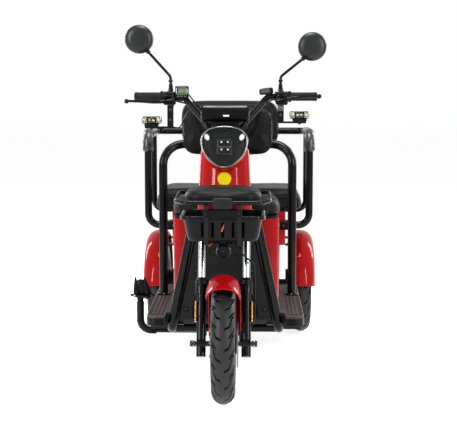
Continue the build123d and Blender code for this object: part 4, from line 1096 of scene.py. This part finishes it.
def buildShocks():
    coil, rods = newMeshes(2)
    length, radius, count = shock["high"] - shock["low"], shock["radius"], int(shock["turns"] * 14)
    for side in (-1, 1):
        base = Vector((side * shock["x"], shock["y"], shock["low"]))
        turns = [360 * shock["turns"] * number / count for number in range(count + 1)]
        points = arcPoints(base, (radius, 0, 0), (0, radius, 0), turns)
        points = [place + Vector((0, 0, 0.006 + (length - 0.012) * n / count)) for n, place in enumerate(points)]
        addTube(coil, points, shock["wire"], bends=2, sides=3)
        addLathe(rods, [(-0.006, 0), (-0.006, 0.025), (0.0, 0.025), (0.003, 0.012), (0.06, 0.012), (0.062, 0.0085),
                        (length - 0.003, 0.0085), (length, 0.024), (length + 0.004, 0.024), (length + 0.004, 0)],
                 base, (0, 0, 1), 36)
    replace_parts(newPiece("spring_coils", coil, "redPaint", "chassis", sharp=70), "rear_shocks")
    newPiece("spring_dampers", rods, "brushedSteel", "chassis")


buildShocks()
print("foot brake, sleeves and springs made")

# footboards: dark edge, lip and screws round the ribbed deck
deckShape = {"outer": 0.281, "front": -0.395, "notch": 0.218, "rear": 0.319, "top": 0.245, "corner": 0.034}


def deckEdge(side, inset, height):
    outer, front = deckShape["outer"] - inset, deckShape["front"] + inset
    corner = deckShape["corner"]
    points = [Vector((side * x, front, height)) for x in (deckShape["notch"], outer - corner)]
    middle = (side * (outer - corner), front + corner, height)
    points += arcPoints(middle, (0, -corner, 0), (side * corner, 0, 0), range(10, 81, 10))
    points += [Vector((side * outer, y, height)) for y in (front + corner, -0.2, 0.0, 0.2, deckShape["rear"])]
    return points


def buildDeck():
    lips, screws, apron = newMeshes(3)
    for side in (-1, 1):
        addTube(lips, deckEdge(side, 0.003, deckShape["top"] + 0.001), 0.0042, bends=6, sides=4)
        for height in (0.238, 0.231, 0.224, 0.217):
            addTube(apron, deckEdge(side, 0.0022, height), 0.0046, bends=6, sides=3)
        for x, y in ((0.2235, -0.372), (0.2235, 0.3), (0.266, 0.3)):
            addBolt(screws, (side * x, y, deckShape["top"]), (0, 0, 1), 0.0042, False)
    newPiece("deck_lips", lips, "deckPlastic", "chassis", sharp=70)
    newPiece("deck_aprons", apron, "blackPlastic", "chassis", sharp=70)
    newPiece("deck_screws", screws, "darkMetal", "chassis")


buildDeck()

# leg shield: screws in sunk cups and a raised line round the wheel arch
shield = {
    "screws": [(-0.103, 0.412), (0.097, 0.412), (-0.141, 0.272), (0.141, 0.272), (-0.066, 0.535), (0.066, 0.535)],
    "cup": [(-0.001, 0.0), (-0.001, 0.0062), (0.0012, 0.0068), (0.0022, 0.0078), (0.0012, 0.0092), (-0.001, 0.0095)],
    "facing": (0, -1, 0.09), "arch": 0.119, "archHeight": 0.262,
}


def shieldPoint(x, z, lift=0.0):  # on the sloping front face
    lean = (0.265 - 0.224) / (0.64 - 0.1935)
    return Vector((x, back(224) + (0.64 - z) * lean - 0.008 - lift, z))


def buildShield():
    cups, screws, line = newMeshes(3)
    for x, z in shield["screws"]:
        addLathe(cups, shield["cup"], shieldPoint(x, z), shield["facing"], 28)
        addBolt(screws, shieldPoint(x, z), shield["facing"], 0.0034, False)
    arch = shield["arch"]
    flat = arcPoints((0, 0, shield["archHeight"]), (arch, 0, 0), (0, 0, arch), [-8 + n * 6.125 for n in range(33)])
    points = [shieldPoint(place.x, place.z, 0.0005) for place in flat]
    addTube(line, [place for place in points if place.z > 0.236], 0.0022, bends=4, sides=3)
    for z in (0.47, 0.492):
        addTube(line, [shieldPoint(x, z) for x in (-0.062, -0.03, 0.0, 0.03, 0.062)], 0.0018, bends=3, sides=3)
    newPiece("shield_cups", cups, "blackPlastic", "chassis")
    newPiece("shield_screws", screws, "darkMetal", "chassis")
    newPiece("shield_lines", line, "greyPlastic", "chassis", sharp=70)


buildShield()

# cowl: bowed face and blank yellow disc
cowlShape = {
    "disc": (0.748, 0.0235), "low": 408, "high": 648, "lowHalf": 96.0, "highHalf": 84.0,
    "profile": [(0, -64.0), (16, -63.2), (32, -60.2), (46, -55.4), (58, -49.4), (68, -42.6), (77, -34.4), (84, -26.0),
                (89, -15.0)],  # across and behind the fork line
}


def cowlPoint(x, w):  # on the bowed face, millimetres across and up the fork line
    rise = (w - 398) / (690 - 398)
    narrow = (cowlShape["lowHalf"] + (cowlShape["highHalf"] - cowlShape["lowHalf"]) * rise) / cowlShape["lowHalf"]
    rows = cowlShape["profile"]
    number = next(n for n in range(1, len(rows)) if abs(x) <= rows[n][0])
    (x0, v0), (x1, v1) = rows[number - 1], rows[number]
    return steerPoint(x * narrow, v0 + (v1 - v0) * (abs(x) - x0) / (x1 - x0), w)


def buildCowlTrim():
    disc, face = newMeshes(2)
    bmesh.ops.create_grid(face, x_segments=88, y_segments=24, size=1.0)
    middle, reach = (cowlShape["low"] + cowlShape["high"]) / 2, (cowlShape["high"] - cowlShape["low"]) / 2
    for vert in face.verts:
        vert.co = cowlPoint(vert.co.x * 88.9, middle + vert.co.y * reach)
    smoothed(face, [vert for vert in face.verts if not vert.is_boundary], 6)
    newPiece("cowl_face", face, "redPaint", "chassis", sharp=70)
    along = (cowlPoint(0, 600) - cowlPoint(0, 500)).normalized()
    outward = Vector((0, -along.z, along.y))
    z, radius = cowlShape["disc"]
    spot = cowlPoint(0, 500) + along * ((z - cowlPoint(0, 500).z) / along.z)
    profile = [(-0.0022, 0.0), (-0.0022, radius), (-0.0002, radius), (0.0003, radius - 0.0008),
               (0.0005, radius - 0.003), (0.0005, 0.0)]
    addLathe(disc, profile, spot, outward, 56)
    newPiece("cowl_disc", disc, "discYellow", "chassis")


buildCowlTrim()

# carrier and basket dress: end block, rim bead, strap buckles, bolts, loose wire ends, horn
basketRim = {"half": 0.136, "front": -0.76, "rear": -0.534, "height": 0.6435, "corner": 0.04}


def roundedLoop(half, front, rear, corner, height):
    points = []
    for x, y, start in ((half - corner, front + corner, -90), (half - corner, rear - corner, 0),
                        (-half + corner, rear - corner, 90), (-half + corner, front + corner, 180)):
        points += arcPoints((x, y, height), (corner, 0, 0), (0, corner, 0), range(start, start + 91, 15))
    return points


def buildCarrierDress():
    bead, block, bolts, orange = newMeshes(4)
    loop = roundedLoop(**basketRim)
    for drop, radius in ((0.0, 0.0042), (0.0065, 0.0032)):
        addTube(bead, [place - Vector((0, 0, drop)) for place in loop], radius, bends=4, sides=4, closed=True)
    addBox(block, (0, -0.7795, 0.69), (0.06, 0.021, 0.037), 0.0085, 4)
    addBox(block, (0, -0.7785, 0.69), (0.064, 0.012, 0.03), 0.005, 3)
    for x in (-0.053, 0.053):
        addBox(block, (x, -0.7705, 0.657), (0.019, 0.007, 0.024), 0.0022, 3)
        addBolt(bolts, (x, -0.7745, 0.657), (0, -1, 0), 0.0036, False)
        for y in (-0.7, -0.64):
            addBolt(bolts, (x, y, 0.5515), (0, 0, -1), 0.004)
    for start, run in (((-0.004, -0.7415, 0.596), (0.01, 0, 0.024)), ((-0.047, -0.69, 0.541), (0.009, 0, 0.01))):
        start, end = Vector(start), Vector(start) + Vector(run)
        addTube(orange, [start, start.lerp(end, 0.5) + Vector((0.001, -0.001, 0)), end], 0.0024, bends=6, sides=3)
    newPiece("basket_rim_bead", bead, "blackPaint", "chassis", sharp=70)
    newPiece("carrier_end_block", block, "greyPlastic", "chassis")
    newPiece("carrier_bolts", bolts, "darkMetal", "chassis")
    newPiece("loose_wire_ends", orange, "plugOrange", "chassis")


def buildHorn():
    shell, grille = newMeshes(2)
    centre = Vector((0, back(-30), 0.52))
    profile = [(-0.024, 0.0), (-0.024, 0.008), (-0.02, 0.013), (-0.012, 0.015), (-0.01, 0.0225), (-0.006, 0.0245),
               (0.004, 0.0245), (0.008, 0.0225), (0.01, 0.0185), (0.008, 0.0165), (0.006, 0.0)]
    addLathe(shell, profile, centre, (0, -1, 0), 48)
    for radius in (0.004, 0.0085, 0.013):
        ridge = [(0.0055, radius - 0.0012), (0.0075, radius), (0.0055, radius + 0.0012), (0.0055, radius - 0.0012)]
        addLathe(grille, ridge, centre, (0, -1, 0), 40)
    addBox(shell, centre + Vector((0, 0.002, 0.029)), (0.018, 0.006, 0.022), 0.0015, 2)
    addBolt(grille, centre + Vector((0, -0.0055, 0)), (0, -1, 0), 0.0028, False)
    for x in (-0.016, 0.016):
        addBox(shell, centre + Vector((x, 0.0, 0.024)), (0.01, 0.014, 0.008), 0.002, 2)
    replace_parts(newPiece("horn_shell", shell, "blackPlastic", "chassis"), "horn")
    newPiece("horn_grille", grille, "darkMetal", "chassis")


buildCarrierDress()
buildHorn()
print("deck, shield, cowl and carrier dressed")

# fastenings: name of piece, body, size, six-sided, places with directions
fastenings = {
    "hoop_feet_bolts": ("chassis", 0.0052, True, [
        ((x, 0.077, 0.2505), (0, 0, 1)) for x in (-0.233, -0.273, 0.273, 0.233)]),
    "fork_axle_nuts": ("steering", 0.0105, True, [((side * 0.1045, -0.627, 0.202), (side, 0, 0)) for side in (1, -1)]),
    "caliper_bolts": ("steering", 0.0042, True, [((0.0622, -0.56, z), (1, 0, 0)) for z in (0.196, 0.222)]),
    "backrest_bolts": ("chassis", 0.005, False, [
        ((x, 0.103, z), (0, 1, 0)) for x in (-0.1, 0.1) for z in (0.885, 0.945)]),
    "bench_backrest_bolts": ("chassis", 0.005, False, [
        ((x, 0.6645, z), (0, 1, 0)) for x in (-0.13, 0.13) for z in (0.92, 0.97)]),
    "rear_panel_bolts": ("chassis", 0.006, True, [((x, 0.6795, 0.51), (0, 1, 0)) for x in (-0.2, 0.2)]),
    "seat_box_screws": ("chassis", 0.0045, False, [
        ((side * 0.1952, y, z), (side, 0, 0)) for side in (-1, 1) for y in (-0.18, 0.0) for z in (0.27, 0.55)]),
    "rear_box_screws": ("chassis", 0.0045, False, [
        ((x, 0.3006, z), (0, -1, 0)) for x in (-0.205, 0.205) for z in (0.27, 0.44)]),
}


def buildFastenings():
    for name, (body, size, sixSided, places) in fastenings.items():
        bm = bmesh.new()
        for place, direction in places:
            addBolt(bm, place, direction, size, sixSided)
        newPiece(name, bm, "brushedSteel" if sixSided and body == "chassis" else "darkMetal", body)


def buildClampBlocks():
    bm, bolts = newMeshes(2)
    for side in (-1, 1):
        addBox(bm, (side * 0.236, 0.2905, 0.4955), (0.048, 0.02, 0.036), 0.005, 3)
        addBolt(bolts, (side * 0.226, 0.2806, 0.4955), (0, -1, 0), 0.0045)
    newPiece("armrest_clamp_blocks", bm, "blackPlastic", "chassis")
    newPiece("armrest_clamp_bolts", bolts, "darkMetal", "chassis")


# wheels: valves, hub caps and rim bolts
wheelDress = {
    "wheels": [("front", frontHub, -1, 0.043), ("rear_left", rearAxle, 1, 0.348), ("rear_right", rearAxle, -1, 0.348)],
    "cap": [(-0.004, 0.0), (-0.004, 0.03), (0.002, 0.03), (0.006, 0.026), (0.008, 0.018), (0.0085, 0.0)],
    "boltCircle": 0.046, "valve": 0.108,
}


def buildWheelDress():
    circle = wheelDress["boltCircle"]
    for label, hub, side, reach in wheelDress["wheels"]:
        bolts, valve = newMeshes(2)
        body, outward = f"{label}_wheel", Vector((side, 0, 0))
        face = Vector((side * reach, hub.y, hub.z))
        if label != "front":
            cap = bmesh.new()
            addLathe(cap, wheelDress["cap"], face, outward, 40)
            newPiece(f"{label}_hub_cap", cap, "brushedSteel", body)
        for spot in arcPoints(face, (0, circle, 0), (0, 0, circle), range(90, 450, 72)):
            addBolt(bolts, spot, outward, 0.0055)
        spot = Vector((side * (reach - 0.012), hub.y + wheelDress["valve"], hub.z))
        addRod(valve, spot - Vector((0, 0.004, 0)), spot + Vector((side * 0.02, -0.01, 0)), 0.0042, tip=0.0034,
               segments=18, bevel=0.0008)
        newPiece(f"{label}_rim_bolts", bolts, "brushedSteel", body)
        newPiece(f"{label}_valve", valve, "rubber", body)


buildFastenings()
buildClampBlocks()
buildWheelDress()
print("fastenings set")

# fork: collars and dust seals on the legs, guard stays
forkDress = {
    "x": 76, "seal": [(-0.02, 0.0165), (-0.02, 0.0205), (-0.014, 0.0215), (-0.004, 0.0215), (0.0, 0.0195),
                      (0.004, 0.0178), (0.008, 0.0172), (0.011, 0.0148), (0.011, 0.0122)],
    "band": [(-0.003, 0.0162), (-0.003, 0.0176), (0.003, 0.0176), (0.003, 0.0162)],
}


def buildForkDress():
    seals, stays = newMeshes(2)
    axis = (steerPoint(0, 0, 300) - steerPoint(0, 0, 200)).normalized()
    for side in (-1, 1):
        addLathe(seals, forkDress["seal"], steerPoint(side * forkDress["x"], 0, 214), axis, 36)
        for w in (150, 90):
            addLathe(seals, forkDress["band"], steerPoint(side * forkDress["x"], 0, w), axis, 32)
        inner = wheelPoint(frontHub, side * 0.054, 0.215, 96)
        addBox(stays, inner.lerp(steerPoint(side * 66, 4, 212), 0.5), (0.016, 0.022, 0.01), 0.002, 2)
    newPiece("fork_seals", seals, "blackPlastic", "steering")
    newPiece("mudguard_stays", stays, "blackPaint", "steering")


buildForkDress()
print("fork dressed")
